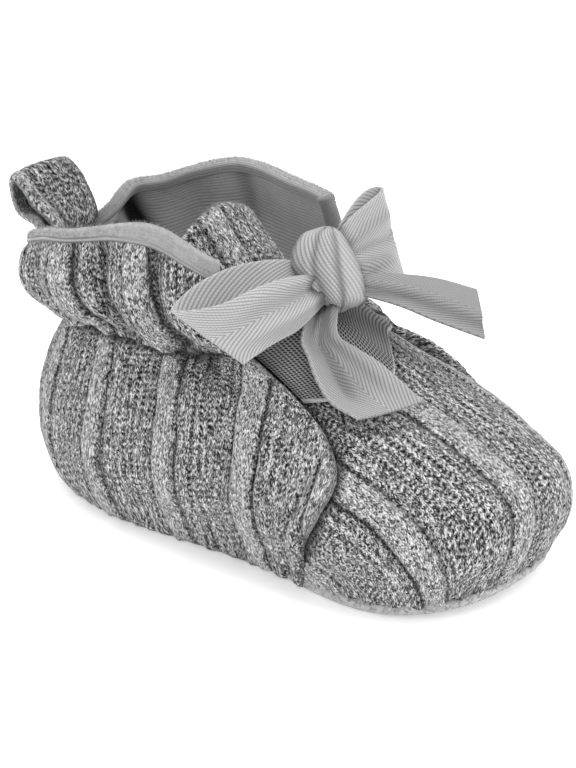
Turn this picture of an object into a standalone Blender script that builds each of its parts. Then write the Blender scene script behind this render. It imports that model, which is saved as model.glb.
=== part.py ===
"""Knitted baby bootie with a gathered ankle, flared cuff, instep elastic and ribbon bow.

The frame is in metres with +Z up. The toe points along +X and the origin is the middle of the sole's
flat underside. The upper is worked out from rings: closed curves that climb from the sole seam, over the
toe and round the heel, to the gathered ankle, and from there up the open cuff to its rim.
"""

import math

import bmesh
import bpy
from mathutils import Vector

# Driving sizes of the foot part
SOLE_LENGTH = 0.112
BODY_WIDTH = 0.064
BALL_WIDTH = 0.0545
INSTEP_HEIGHT = 0.050
ANKLE_HEIGHT = 0.043
ANKLE_WIDTH = 0.043
TOE_SPRING = 0.0025

# Driving sizes of the cuff, counted from the gathered line
CUFF_HEIGHT = 0.0235
CUFF_WIDTH = 0.058

# Thicknesses and clearances
WALL = 0.0024
SOLE_THICKNESS = 0.0028
SOLE_LIP = 0.0004
INSOLE_THICKNESS = 0.0016
GAP = 0.0004
QUARTER_STEP = 0.0020
QUARTER_STEP_REACH = 0.011

# Tongue: its arch is worked out from the room between the cuff's walls
TONGUE_THICKNESS = 0.0022
TONGUE_LENGTH = 0.0315
TONGUE_OVERLAP = 0.0060
TONGUE_ROUNDING = 0.0110
TONGUE_SIDE_CLEARANCE = 0.0028
TONGUE_RISE = math.radians(47)

# Instep elastic
ELASTIC_THICKNESS = 0.0012
ELASTIC_RISE = 0.0013

# Pull loop
LOOP_WIDTH = 0.0145
LOOP_THICKNESS = 0.0018
LOOP_RISE = 0.0154
LOOP_DEPTH = 0.0094
LOOP_LEAN = math.radians(31)
LOOP_SEAT_SIDE = -0.0013

# Ribbon bow
RIBBON_WIDTH = 0.0190
RIBBON_THICKNESS = 0.0008
BOW_TURN = math.radians(37)
BOW_TILT = math.radians(24)

# Proportions, as shares of the sizes named beside them
TOE_SPRING_START = 0.78  # of SOLE_LENGTH
WAIST_PLACE = 0.51  # of SOLE_LENGTH
WAIST_REACH = 0.24  # of SOLE_LENGTH
LEFT_EDGE_SETBACK = 0.055  # of SOLE_LENGTH
ELASTIC_SPAN = 2.0  # rings in front of the gathered one
LOOP_FLARE = 0.08  # of LOOP_WIDTH, added where the strip is sewn in
TONGUE_GIRTH = 1.23  # half girth, of the room beside the middle
TONGUE_ROOT_ARCH = 1.26  # radius, of the same room
TONGUE_TIP_ARCH = 1.40  # radius, of the same room
BOW_STAND = 0.553  # of RIBBON_WIDTH, above the elastic
BOW_FORWARD = -0.18  # of RIBBON_WIDTH

# Curves that shape the forms
FRONT_RISE_POWER = 4.0
BACK_RISE_POWER = 2.0
LOOP_BELLY = 0.32
KNOT_SQUARENESS = 2.6
TONGUE_BLUNTNESS = 3.0
TONGUE_TIP_SPACING = 1.6
STEP_ANGLE = 0.035

# Fineness of the meshes
QUARTER_COLUMNS = 48
VAMP_COLUMNS = 18
FOOT_ROWS = 12
CUFF_ROWS = 7
SOLE_COLUMNS = 72
INSOLE_COLUMNS = 60
TONGUE_ROWS = 20
TONGUE_COLUMNS = 12
ELASTIC_ROWS = 6
ELASTIC_COLUMNS = 18
LOOP_ROWS = 20
LOOP_COLUMNS = 6
KNOT_COLUMNS = 16
RIBBON_STEPS = 3
RIBBON_COLUMNS = 3
MERGE = 0.00005

# Rings of the upper's outer surface, from the sole seam up.
# back, wide and front are where the ring starts, is widest and ends, and edge is where the quarter's leading
# edge or the cuff's front edge crosses it, all as shares of SOLE_LENGTH from the heel end.
# half is the half width as a share of half the named width; rise_back, rise_side and rise_front are heights
# as shares of ANKLE_HEIGHT, ANKLE_HEIGHT and INSTEP_HEIGHT above the sole, square_back and square_front the
# exponents of the ring's round ends.
COLUMNS = (
    "back",
    "wide",
    "front",
    "half",
    "rise_back",
    "rise_side",
    "rise_front",
    "square_back",
    "square_front",
    "edge",
    "waist",
)
FOOT_RINGS = (
    (0.002, 0.70, 1.006, 0.800, 0.000, 0.000, 0.000, 2.9, 2.5, 0.685, 0.16),
    (-0.036, 0.70, 1.036, 0.925, 0.110, 0.110, 0.110, 2.9, 2.5, 0.705, 0.14),
    (-0.052, 0.68, 1.050, 0.985, 0.280, 0.275, 0.280, 2.7, 2.4, 0.728, 0.08),
    (-0.056, 0.63, 1.034, 0.965, 0.440, 0.445, 0.450, 2.5, 2.4, 0.755, 0.03),
    (-0.050, 0.55, 0.962, 0.885, 0.580, 0.602, 0.582, 2.4, 2.4, 0.765, 0.00),
    (-0.038, 0.45, 0.862, 0.810, 0.690, 0.750, 0.690, 2.2, 2.5, 0.718, 0.00),
    (-0.024, 0.36, 0.750, 0.738, 0.760, 0.850, 0.780, 2.1, 2.6, 0.640, 0.00),
    (-0.012, 0.29, 0.645, 0.688, 0.810, 0.920, 0.885, 2.1, 2.8, 0.562, 0.00),
    (-0.006, 0.245, 0.555, 0.665, 0.845, 0.960, 0.985, 2.0, 3.0, 0.495, 0.00),
)
CUFF_RINGS = (
    (-0.038, 0.235, 0.550, 0.790, 0.070, 0.095, 0.110, 2.0, 2.9, 0.488, 0.00),
    (-0.077, 0.215, 0.545, 0.935, 0.190, 0.270, 0.270, 2.0, 2.7, 0.478, 0.00),
    (-0.089, 0.200, 0.540, 1.010, 0.350, 0.500, 0.430, 2.0, 2.6, 0.470, 0.00),
    (-0.080, 0.195, 0.535, 0.985, 0.500, 0.760, 0.600, 2.0, 2.6, 0.463, 0.00),
    (-0.062, 0.195, 0.530, 0.925, 0.610, 0.990, 0.720, 2.0, 2.6, 0.455, 0.00),
)

# Soft folds of the cuff: angle round the ring in degrees, half width in degrees, depth (inwards is
# positive) as a share of CUFF_HEIGHT, and how much of it is left at the rim.
CUFF_FOLDS = (
    (62, 14, 0.08, 1.0),
    (88, 12, -0.05, 1.0),
    (108, 11, 0.08, 1.0),
    (126, 9, 0.03, 1.0),
    (139, 8, -0.09, 0.3),
    (154, 9, 0.12, 0.8),
    (212, 16, 0.07, 1.0),
    (232, 9, -0.03, 0.4),
    (244, 8, 0.04, 0.6),
    (260, 8, -0.05, 0.6),
    (277, 7, 0.08, 0.5),
    (288, 7, -0.05, 0.6),
    (299, 6, 0.04, 0.6),
)

# Where the rim stands higher or lower than its ring: angle in degrees, half width in degrees and lift as a share
# of CUFF_HEIGHT.
RIM_LIFTS = (
    (62, 22, 0.04),
    (120, 14, -0.02),
    (145, 11, 0.09),
    (170, 12, -0.075),
    (292, 17, 0.215),
    (326, 15, -0.16),
)

# Levels of the sole and the insole from below: how far the edge draws in and the height, both as shares of the
# piece's thickness.
SOLE_LEVELS = (
    (7.2, 0.0),
    (3.6, 0.0),
    (0.65, 0.0),
    (0.18, 0.25),
    (0.0, 0.60),
    (0.14, 0.90),
    (0.40, 1.0),
    (3.6, 1.0),
    (7.2, 1.0),
)
INSOLE_LEVELS = (
    (12.5, 0.0),
    (6.2, 0.0),
    (0.60, 0.0),
    (0.0, 0.40),
    (0.12, 0.80),
    (0.60, 1.0),
    (6.2, 1.0),
    (12.5, 1.0),
)

# Bow strips in the bow's own frame: right, up and out as seen by someone facing the bow, as shares of
# RIBBON_WIDTH from the middle of the knot. Each row holds one edge of the ribbon and then the other.
LOOP_NEAR = (
    ((-0.20, 0.06, 0.02), (-0.20, -0.30, 0.10)),
    ((-0.66, 0.07, 0.14), (-0.52, -0.72, 0.30)),
    ((-1.07, -0.02, 0.43), (-0.72, -0.90, 0.44)),
    ((-1.43, -0.21, 0.62), (-0.86, -0.99, 0.52)),
    ((-1.67, -0.45, 0.76), (-0.92, -1.03, 0.60)),
    ((-1.55, -0.49, 0.90), (-0.87, -1.00, 0.72)),
    ((-1.17, -0.42, 0.96), (-0.74, -0.90, 0.74)),
    ((-0.80, -0.25, 0.84), (-0.54, -0.78, 0.62)),
    ((-0.50, -0.14, 0.54), (-0.34, -0.66, 0.42)),
    ((-0.16, -0.08, 0.14), (-0.06, -0.38, 0.14)),
)
LOOP_FAR = (
    ((0.00, 0.28, -0.04), (0.16, -0.10, -0.04)),
    ((0.22, 0.66, -0.34), (0.44, -0.08, -0.34)),
    ((0.40, 0.86, -0.66), (0.65, -0.10, -0.66)),
    ((0.55, 0.90, -0.84), (0.79, -0.10, -0.80)),
    ((0.55, 0.84, -0.66), (0.80, -0.12, -0.62)),
    ((0.39, 0.69, -0.34), (0.66, -0.12, -0.32)),
    ((0.20, 0.52, -0.08), (0.44, -0.16, -0.06)),
    ((0.02, 0.28, 0.06), (0.16, -0.18, 0.06)),
)
TAIL_FAR = (
    ((0.12, -0.08, -0.10), (0.14, -0.26, 0.02)),
    ((0.50, -0.10, -0.22), (0.50, -0.345, 0.10)),
    ((0.81, -0.11, -0.32), (0.79, -0.435, 0.14)),
    ((1.16, -0.15, -0.36), (1.10, -0.565, 0.12)),
    ((1.57, -0.26, -0.38), (1.64, -0.76, 0.08)),
)
TAIL_NEAR = (
    ((-0.16, -0.30, 0.06), (0.10, -0.30, 0.02)),
    ((-0.30, -0.69, 0.38), (0.07, -0.70, 0.34)),
    ((-0.24, -0.91, 0.52), (0.27, -0.87, 0.46)),
    ((-0.16, -1.16, 0.66), (0.49, -1.01, 0.58)),
    ((-0.01, -1.46, 0.80), (0.72, -1.21, 0.72)),
    ((0.20, -1.67, 0.94), (0.95, -1.43, 0.86)),
)

# Knot sections in the same frame, from its top to its bottom: height, left, right, front and back.
KNOT_SECTIONS = (
    (0.41, -0.18, 0.06, 0.04, -0.08),
    (0.35, -0.31, 0.13, 0.17, -0.21),
    (0.18, -0.41, 0.23, 0.25, -0.27),
    (0.00, -0.43, 0.31, 0.28, -0.28),
    (-0.18, -0.32, 0.36, 0.27, -0.27),
    (-0.33, -0.18, 0.36, 0.23, -0.24),
    (-0.41, -0.06, 0.29, 0.15, -0.16),
    (-0.45, 0.04, 0.18, 0.05, -0.06),
)

COLOURS = {
    "upper": (0.29, 0.29, 0.29),
    "sole": (0.30, 0.30, 0.30),
    "insole": (0.22, 0.22, 0.22),
    "tongue": (0.31, 0.31, 0.31),
    "pull_loop": (0.26, 0.26, 0.26),
    "elastic": (0.13, 0.13, 0.13),
    "ribbon": (0.45, 0.45, 0.45),
}
ROUGHNESS = {
    "upper": 0.95,
    "sole": 0.85,
    "insole": 0.95,
    "tongue": 0.95,
    "pull_loop": 0.95,
    "elastic": 0.80,
    "ribbon": 0.60,
}


def clear_scene():
    for old in list(bpy.data.objects):
        bpy.data.objects.remove(old)


def material(name):
    made = bpy.data.materials.get(name)
    if made is None:
        made = bpy.data.materials.new(name)
        made.use_nodes = True
        shader = made.node_tree.nodes["Principled BSDF"]
        shader.inputs["Base Color"].default_value = (*COLOURS[name], 1.0)
        shader.inputs["Roughness"].default_value = ROUGHNESS[name]
        shader.inputs["Metallic"].default_value = 0.0
    return made


def add_solid(name, points, faces, finish):
    mesh = bpy.data.meshes.new(name)
    mesh.from_pydata([tuple(p) for p in points], [], faces)
    mesh.materials.append(material(finish))
    mesh.shade_smooth()
    mesh.set_sharp_from_angle(angle=math.radians(50))
    made = bpy.data.objects.new(name, mesh)
    bpy.context.scene.collection.objects.link(made)
    return made


def smooth_step(t):
    t = max(0.0, min(1.0, t))
    return t * t * (3 - 2 * t)


def flowing(values, at):
    """A smooth curve through evenly spaced values, read at a place counted in their spacing."""
    last = len(values) - 1
    i = max(0, min(last - 1, int(math.floor(at))))
    t = at - i
    before = values[i - 1] if i > 0 else values[i] * 2 - values[i + 1]
    after = values[i + 2] if i + 2 <= last else values[last] * 2 - values[last - 1]
    slope_in = (values[i + 1] - before) / 2
    slope_out = (after - values[i]) / 2
    a = 2 * t**3 - 3 * t**2 + 1
    b = t**3 - 2 * t**2 + t
    c = -2 * t**3 + 3 * t**2
    d = t**3 - t**2
    return values[i] * a + slope_in * b + values[i + 1] * c + slope_out * d


def spring(x_share):
    """How far the toe spring lifts the sole at a share of its length."""
    past = (x_share - TOE_SPRING_START) / (1 - TOE_SPRING_START)
    return TOE_SPRING * max(0.0, past) ** 2


def ring_table():
    """The rings in metres, with x from the middle of the sole."""
    rings = []
    seam = SOLE_THICKNESS + GAP
    for row in FOOT_RINGS:
        r = dict(zip(COLUMNS, row))
        r["half"] *= BODY_WIDTH / 2
        r["rise_back"] = seam + r["rise_back"] * (ANKLE_HEIGHT - seam)
        r["rise_side"] = seam + r["rise_side"] * (ANKLE_HEIGHT - seam)
        r["rise_front"] = seam + r["rise_front"] * (INSTEP_HEIGHT - seam)
        rings.append(r)
    rings[0]["half"] = BALL_WIDTH / 2
    ankle = rings[-1]
    ankle["half"] = ANKLE_WIDTH / 2
    for row in CUFF_RINGS:
        r = dict(zip(COLUMNS, row))
        r["half"] *= CUFF_WIDTH / 2
        for rise in ("rise_back", "rise_side", "rise_front"):
            r[rise] = ankle[rise] + r[rise] * CUFF_HEIGHT
        rings.append(r)
    for r in rings:
        for place in ("back", "wide", "front", "edge"):
            r[place] = (r[place] - 0.5) * SOLE_LENGTH
    return rings


RINGS = ring_table()
ANKLE = float(len(FOOT_RINGS) - 1)
RIM = float(len(RINGS) - 1)


def ring_at(v):
    return {key: flowing([r[key] for r in RINGS], v) for key in COLUMNS}


def around(r, angle):
    """The unit curve of a ring at an angle: 0 is the toe and pi the heel."""
    c, s = math.cos(angle), math.sin(angle)
    n = r["square_back"] + (r["square_front"] - r["square_back"]) * (1 + c) / 2
    k = (abs(c) ** n + abs(s) ** n) ** (-1 / n)
    return k * c, k * s


def fold(v, angle):
    """How far the cuff's folds push its surface in, none at the gathered line and most at the rim."""
    if v <= ANKLE:
        return 0.0
    up = (v - ANKLE) / (RIM - ANKLE)
    degrees = math.degrees(angle) % 360
    deep = 0.0
    for middle, half, depth, at_rim in CUFF_FOLDS:
        left = 1 - (1 - at_rim) * smooth_step((up - 0.5) / 0.5)
        deep += depth * left * math.exp(-(((degrees - middle) / half) ** 2))
    return deep * CUFF_HEIGHT * math.sin(min(1.0, up * 1.25) * math.pi / 2) * (0.35 + 0.65 * up)


def rim_lift(v, angle):
    """How far the rim stands above its ring, shared out down the cuff to none at the gathered line."""
    if v <= ANKLE:
        return 0.0
    degrees = math.degrees(angle) % 360
    lift = 0.0
    for middle, half, height in RIM_LIFTS:
        lift += height * math.exp(-(((degrees - middle) / half) ** 2))
    return lift * CUFF_HEIGHT * ((v - ANKLE) / (RIM - ANKLE)) ** 1.5


def base_point(v, angle):
    """A point of the upper's outer surface, without the quarter's step."""
    r = ring_at(v)
    along, across = around(r, angle)
    if along >= 0:
        x = r["wide"] + (r["front"] - r["wide"]) * along
        z = r["rise_side"] + (r["rise_front"] - r["rise_side"]) * along**FRONT_RISE_POWER
    else:
        x = r["wide"] + (r["wide"] - r["back"]) * along
        z = r["rise_side"] + (r["rise_back"] - r["rise_side"]) * abs(along) ** BACK_RISE_POWER
    from_waist = (x / SOLE_LENGTH + 0.5 - WAIST_PLACE) / WAIST_REACH
    y = r["half"] * across * (1 - r["waist"] * math.exp(-(from_waist**2)))
    lifted = spring(x / SOLE_LENGTH + 0.5) * (1 - smooth_step(v / 3))
    inward = fold(v, angle)
    return Vector((x - inward * math.cos(angle), y - inward * math.sin(angle), z + lifted + rim_lift(v, angle)))


def outward(v, angle):
    dv, da = 0.02, 0.01
    low = max(0.0, v - dv)
    high = min(RIM, v + dv)
    up = base_point(high, angle) - base_point(low, angle)
    round_about = base_point(v, angle + da) - base_point(v, angle - da)
    return round_about.cross(up).normalized()


def edge_angle(v, left=False):
    """The angle off the toe where the quarter's leading edge, or the cuff's front edge, crosses the ring at v.

    The left edge bows forwards less than the right one.
    """
    r = ring_at(v)
    goal = r["edge"]
    if left and v < ANKLE:
        goal -= LEFT_EDGE_SETBACK * SOLE_LENGTH * math.sin(math.pi * v / ANKLE) ** 2
    reach = (r["front"] - r["wide"]) if goal >= r["wide"] else (r["wide"] - r["back"])
    goal = (goal - r["wide"]) / reach
    low, high = math.radians(5), math.radians(150)
    for _ in range(40):
        middle = (low + high) / 2
        if around(r, middle)[0] > goal:
            low = middle
        else:
            high = middle
    return (low + high) / 2


def surface(v, angle, out=0.0):
    """A point that lies a distance outside the upper's base surface."""
    return base_point(v, angle) + outward(v, angle) * out


def thicken(name, outer, inner, faces, finish):
    """A closed solid from two layers of matching points and the outer layer's faces."""
    count = len(outer)
    seen = {}
    for face in faces:
        for a, b in zip(face, face[1:] + face[:1]):
            seen[(a, b)] = True
    walls = [(b, a, a + count, b + count) for a, b in seen if (b, a) not in seen]
    backs = [tuple(i + count for i in reversed(face)) for face in faces]
    return add_solid(name, outer + inner, list(faces) + backs + walls, finish)


def grid_faces(rows, columns, round_about=False):
    """Quads of a grid of points kept row by row, facing out where columns run anticlockwise and rows up."""
    faces = []
    for j in range(rows - 1):
        for i in range(columns if round_about else columns - 1):
            n = (i + 1) % columns
            faces.append((j * columns + i, j * columns + n, (j + 1) * columns + n, (j + 1) * columns + i))
    return faces


def quarter_raise(v, from_edge):
    """How far the quarter stands proud of the vamp: most at its leading edge, less at the sole and the rim."""
    if v <= ANKLE:
        share = 0.4 + 0.6 * smooth_step(v / 2)
    else:
        share = 1 - smooth_step((v - ANKLE) / (RIM - ANKLE))
    return QUARTER_STEP * share * (1 - smooth_step(from_edge / QUARTER_STEP_REACH))


def upper_rows():
    foot = [ANKLE * j / FOOT_ROWS for j in range(FOOT_ROWS + 1)]
    cuff = [ANKLE + (RIM - ANKLE) * j / CUFF_ROWS for j in range(1, CUFF_ROWS + 1)]
    return foot, cuff


def upper_columns(v):
    """Angles round the ring at v: the quarter from its left edge round the heel, then the vamp."""
    left, right = edge_angle(v, left=True), edge_angle(v)
    sweep = 2 * math.pi - left - right
    quarter = [left + sweep * i / QUARTER_COLUMNS for i in range(QUARTER_COLUMNS + 1)]
    sweep = left + right - 2 * STEP_ANGLE
    start = 2 * math.pi - right + STEP_ANGLE
    vamp = [start + sweep * i / VAMP_COLUMNS for i in range(VAMP_COLUMNS + 1)]
    return quarter, vamp


def make_upper():
    """Quarter, cuff and vamp as one hollow wall, open underneath, at the collar and at the throat."""
    foot, cuff = upper_rows()
    columns = QUARTER_COLUMNS + 1 + VAMP_COLUMNS + 1
    outer, inner, faces, index = [], [], [], {}
    for j, v in enumerate(foot + cuff):
        quarter, vamp = upper_columns(v)
        left = surface(v, quarter[0])
        right = surface(v, quarter[-1])
        for i, angle in enumerate(quarter + (vamp if v <= ANKLE else [])):
            out = 0.0
            if i <= QUARTER_COLUMNS:
                here = surface(v, angle)
                from_edge = min((here - left).length, (here - right).length)
                out = quarter_raise(v, from_edge)
            index[(j, i)] = len(outer)
            outside = surface(v, angle, out)
            inside = surface(v, angle, -WALL)
            if j == 0:
                outside.z = inside.z = SOLE_THICKNESS + GAP + spring(outside.x / SOLE_LENGTH + 0.5)
            outer.append(outside)
            inner.append(inside)
    for j in range(len(foot) + len(cuff) - 1):
        open_front = j >= FOOT_ROWS
        for i in range(QUARTER_COLUMNS if open_front else columns):
            n = (i + 1) % columns
            faces.append((index[(j, i)], index[(j, n)], index[(j + 1, n)], index[(j + 1, i)]))
    return thicken("upper", outer, inner, faces, "upper")


def outline(v, out, count):
    """The plan of a ring, moved out by a distance, as x and y pairs."""
    made = []
    for i in range(count):
        p = surface(v, 2 * math.pi * i / count)
        n = outward(v, 2 * math.pi * i / count)
        flat = Vector((n.x, n.y)).normalized()
        made.append(Vector((p.x, p.y)) + flat * out)
    return made


def slab(name, edge, levels, low, thickness):
    """A flat piece cut to an outline, lofted through its levels and closed above and below."""
    count = len(edge)
    middle = Vector((0.0, 0.0))
    for p in edge:
        middle += p / count
    points = []
    for inset, height in levels:
        for p in edge:
            inward = middle - p
            q = p + inward.normalized() * min(inset * thickness, inward.length)
            points.append(Vector((q.x, q.y, low + height * thickness + spring(q.x / SOLE_LENGTH + 0.5))))
    faces = grid_faces(len(levels), count, round_about=True)
    bottom, top = len(points), len(points) + 1
    points.append(Vector((middle.x, middle.y, low)))
    points.append(Vector((middle.x, middle.y, low + thickness)))
    last = (len(levels) - 1) * count
    for i in range(count):
        n = (i + 1) % count
        faces.append((bottom, n, i))
        faces.append((top, last + i, last + n))
    return add_solid(name, points, faces, name)


def make_sole():
    """Soft sole: flat underneath, with a rounded edge that stands a little proud of the upper's seam."""
    return slab("sole", outline(0.0, SOLE_LIP, SOLE_COLUMNS), SOLE_LEVELS, 0.0, SOLE_THICKNESS)


def make_insole():
    """Thin lining pad that lies on the sole inside the upper."""
    edge = outline(0.0, -(WALL + GAP), INSOLE_COLUMNS)
    return slab("insole", edge, INSOLE_LEVELS, SOLE_THICKNESS + GAP, INSOLE_THICKNESS)


def make_tongue():
    """The vamp's free end: an arched flap with a round top that stands up behind the bow.

    Its root lies under the vamp's back edge and follows it; from there it bends into its own arch.
    """
    clear = WALL + GAP
    room = ANKLE_WIDTH / 2 - WALL - TONGUE_SIDE_CLEARANCE
    under = surface(ANKLE, 0.0, -clear)
    before = surface(ANKLE - 1.0, 0.0, -clear)
    back = (under - before).normalized()
    rise = Vector((-math.cos(TONGUE_RISE), 0.0, math.sin(TONGUE_RISE)))
    angle_per_girth = STEP_ANGLE / (surface(ANKLE, STEP_ANGLE, -clear) - under).length
    outer, inner = [], []
    for j in range(TONGUE_ROWS + 1):
        down = (1 - j / TONGUE_ROWS) ** TONGUE_TIP_SPACING
        past = TONGUE_LENGTH - (TONGUE_OVERLAP + TONGUE_LENGTH) * down
        free = smooth_step(past / (0.45 * TONGUE_LENGTH))
        share = max(0.0, past / TONGUE_LENGTH)
        along = (back * (1 - free) + rise * free).normalized()
        normal = Vector((0, 1, 0)).cross(along).normalized()
        normal = normal if normal.z > 0 else -normal
        middle = under + back * min(past, 0.0)
        middle += (back * (1 - 0.75 * share) + rise * 0.75 * share) * max(past, 0.0)
        radius = room * (TONGUE_ROOT_ARCH + (TONGUE_TIP_ARCH - TONGUE_ROOT_ARCH) * smooth_step(share))
        to_tip = max(0.0, TONGUE_LENGTH - past)
        half = room * TONGUE_GIRTH
        if to_tip < TONGUE_ROUNDING:
            half *= max(0.25, (1 - (1 - to_tip / TONGUE_ROUNDING) ** TONGUE_BLUNTNESS) ** 0.5)
        for i in range(TONGUE_COLUMNS + 1):
            girth = half * (2 * i / TONGUE_COLUMNS - 1)
            turn = girth / radius
            sideways = Vector((0, 1, 0))
            arch = middle + sideways * radius * math.sin(turn) - normal * radius * (1 - math.cos(turn))
            arch_facing = normal * math.cos(turn) + sideways * math.sin(turn)
            angle = girth * angle_per_girth
            sewn = surface(ANKLE, angle, -clear) + back * past
            place = sewn * (1 - free) + arch * free
            facing = (outward(ANKLE, angle) * (1 - free) + arch_facing * free).normalized()
            outer.append(place)
            inner.append(place - facing * TONGUE_THICKNESS)
    faces = grid_faces(TONGUE_ROWS + 1, TONGUE_COLUMNS + 1)
    return thicken("tongue", outer, inner, faces, "tongue")


def make_elastic():
    """Woven elastic across the instep, from one quarter edge to the other, just in front of the throat.

    It lies on the vamp at both ends and is drawn up a little in the middle, where the bow is tied.
    """
    low, high = ANKLE - ELASTIC_SPAN, ANKLE
    outer, inner = [], []
    for j in range(ELASTIC_ROWS + 1):
        v = low + (high - low) * j / ELASTIC_ROWS
        ends = []
        for left in (False, True):
            edge = edge_angle(v, left) - STEP_ANGLE
            arc_per_angle = (surface(v, edge) - surface(v, edge - STEP_ANGLE)).length / STEP_ANGLE
            ends.append(edge - GAP / arc_per_angle)
        for i in range(ELASTIC_COLUMNS + 1):
            share = 2 * i / ELASTIC_COLUMNS - 1
            angle = ends[0] * (share - 1) / 2 + ends[1] * (share + 1) / 2
            stand = GAP + ELASTIC_RISE * (1 - share * share) ** 2
            outer.append(surface(v, angle, stand + ELASTIC_THICKNESS))
            inner.append(surface(v, angle, stand))
    faces = grid_faces(ELASTIC_ROWS + 1, ELASTIC_COLUMNS + 1)
    return thicken("instep_elastic", outer, inner, faces, "elastic")


def rim_seat(side):
    """Middle of the rim's wall at the back, at a distance to the side, with the wall's up and out."""
    low, high = math.radians(90), math.radians(180)
    for _ in range(30):
        middle = (low + high) / 2
        if surface(RIM, middle, -WALL / 2).y > abs(side):
            low = middle
        else:
            high = middle
    angle = middle if side >= 0 else 2 * math.pi - middle
    seat = surface(RIM, angle, -WALL / 2)
    wall_up = (seat - surface(RIM - 0.2, angle, -WALL / 2)).normalized()
    return seat, wall_up, outward(RIM, angle)


def make_pull_loop():
    """A folded strip that stands on the rim at the back of the cuff, open from side to side."""
    leg = LOOP_THICKNESS / 2 + GAP
    wide = (LOOP_DEPTH - LOOP_THICKNESS) / 2
    lean = Vector((-math.sin(LOOP_LEAN), 0.0, math.cos(LOOP_LEAN)))
    depth = Vector((math.cos(LOOP_LEAN), 0.0, math.sin(LOOP_LEAN)))
    pivot, _, _ = rim_seat(0.0)

    def profile(t):
        turn = math.pi * t
        belly = math.sin(turn) ** LOOP_BELLY
        return math.cos(turn) * (leg * (1 - belly) + wide * belly), LOOP_RISE * math.sin(turn)

    outer, inner = [], []
    for i in range(LOOP_ROWS + 1):
        t = i / LOOP_ROWS
        forward, high = profile(t)
        f0, h0 = profile(max(0.0, t - 0.02))
        f1, h1 = profile(min(1.0, t + 0.02))
        df, dh = f1 - f0, h1 - h0
        size = math.hypot(df, dh)
        nf, nh = dh / size, -df / size
        if i in (0, LOOP_ROWS):
            nf, nh = (1.0 if i == 0 else -1.0), 0.0
        for part, layer in ((0.5, outer), (-0.5, inner)):
            f = forward + nf * part * LOOP_THICKNESS
            h = max(0.0, high + nh * part * LOOP_THICKNESS)
            for j in range(LOOP_COLUMNS + 1):
                side = LOOP_WIDTH * (j / LOOP_COLUMNS - 0.5)
                seat, wall_up, wall_out = rim_seat(side * (1 + LOOP_FLARE) + LOOP_SEAT_SIDE)
                stand = (wall_up + Vector((0.0, 0.0, 2.0))).normalized()
                across = (wall_out - stand * wall_out.dot(stand)).normalized()
                foot = leg * abs(wall_out.dot(stand))
                sewn = seat + stand * (GAP + foot + h) - across * f
                free = pivot + Vector((0.0, side, 0.0)) + lean * (GAP + h) + depth * f
                k = smooth_step(h / (0.6 * LOOP_RISE))
                layer.append(sewn * (1 - k) + free * k)
    faces = grid_faces(LOOP_ROWS + 1, LOOP_COLUMNS + 1)
    return thicken("pull_loop", outer, inner, faces, "pull_loop")


def bow_frame():
    """Middle and axes of the bow: it stands on the elastic and faces up, forwards and to the near side."""
    stand = GAP + ELASTIC_RISE + ELASTIC_THICKNESS + BOW_STAND * RIBBON_WIDTH
    middle = surface(ANKLE - ELASTIC_SPAN / 3, 0.0) + Vector((BOW_FORWARD * RIBBON_WIDTH, 0.0, stand))
    turn, tilt = BOW_TURN, BOW_TILT
    out = Vector((math.sin(turn) * math.cos(tilt), -math.cos(turn) * math.cos(tilt), math.sin(tilt)))
    right = Vector((math.cos(turn), math.sin(turn), 0.0))
    return middle, right, out.cross(right), out


def bow_place(share):
    middle, right, up, out = bow_frame()
    a, b, c = (part * RIBBON_WIDTH for part in share)
    return middle + right * a + up * b + out * c


def ribbon(name, rows):
    """A strip of ribbon through hand-placed pairs of edge points."""
    edges = [(bow_place(a), bow_place(b)) for a, b in rows]
    count = (len(edges) - 1) * RIBBON_STEPS + 1
    columns = RIBBON_COLUMNS + 1
    middle = []
    for j in range(count):
        a = flowing([edge[0] for edge in edges], j / RIBBON_STEPS)
        b = flowing([edge[1] for edge in edges], j / RIBBON_STEPS)
        for i in range(columns):
            middle.append(a + (b - a) * (i / RIBBON_COLUMNS))
    outer, inner = [], []
    for j in range(count):
        for i in range(columns):
            j0, j1 = max(0, j - 1), min(count - 1, j + 1)
            i0, i1 = max(0, i - 1), min(columns - 1, i + 1)
            along = middle[j1 * columns + i] - middle[j0 * columns + i]
            cross = middle[j * columns + i1] - middle[j * columns + i0]
            facing = cross.cross(along).normalized() * RIBBON_THICKNESS / 2
            outer.append(middle[j * columns + i] + facing)
            inner.append(middle[j * columns + i] - facing)
    faces = grid_faces(count, columns)
    return thicken(name, outer, inner, faces, "ribbon")


def make_knot():
    """The wrap of ribbon round the middle of the bow, as one rounded closed form."""
    points = []
    for height, left, right, front, back in KNOT_SECTIONS:
        centre, half = (left + right) / 2, (right - left) / 2
        for i in range(KNOT_COLUMNS):
            turn = 2 * math.pi * i / KNOT_COLUMNS
            c, s = math.cos(turn), math.sin(turn)
            k = (abs(c) ** KNOT_SQUARENESS + abs(s) ** KNOT_SQUARENESS) ** (-1 / KNOT_SQUARENESS)
            out = -k * s * (front if s < 0 else -back)
            points.append(bow_place((centre + half * k * c, height, out)))
    faces = grid_faces(len(KNOT_SECTIONS), KNOT_COLUMNS, round_about=True)
    last = (len(KNOT_SECTIONS) - 1) * KNOT_COLUMNS
    faces.append(tuple(reversed(range(KNOT_COLUMNS))))
    faces.append(tuple(last + i for i in range(KNOT_COLUMNS)))
    return add_solid("bow", points, faces, "ribbon")


def clean_up(mesh):
    """Merge points closer than MERGE and drop the faces that this leaves without an area."""
    work = bmesh.new()
    work.from_mesh(mesh)
    bmesh.ops.remove_doubles(work, verts=work.verts[:], dist=MERGE)
    bmesh.ops.dissolve_degenerate(work, edges=work.edges[:], dist=MERGE)
    bmesh.ops.triangulate(work, faces=work.faces[:])
    work.to_mesh(mesh)
    work.free()


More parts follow.
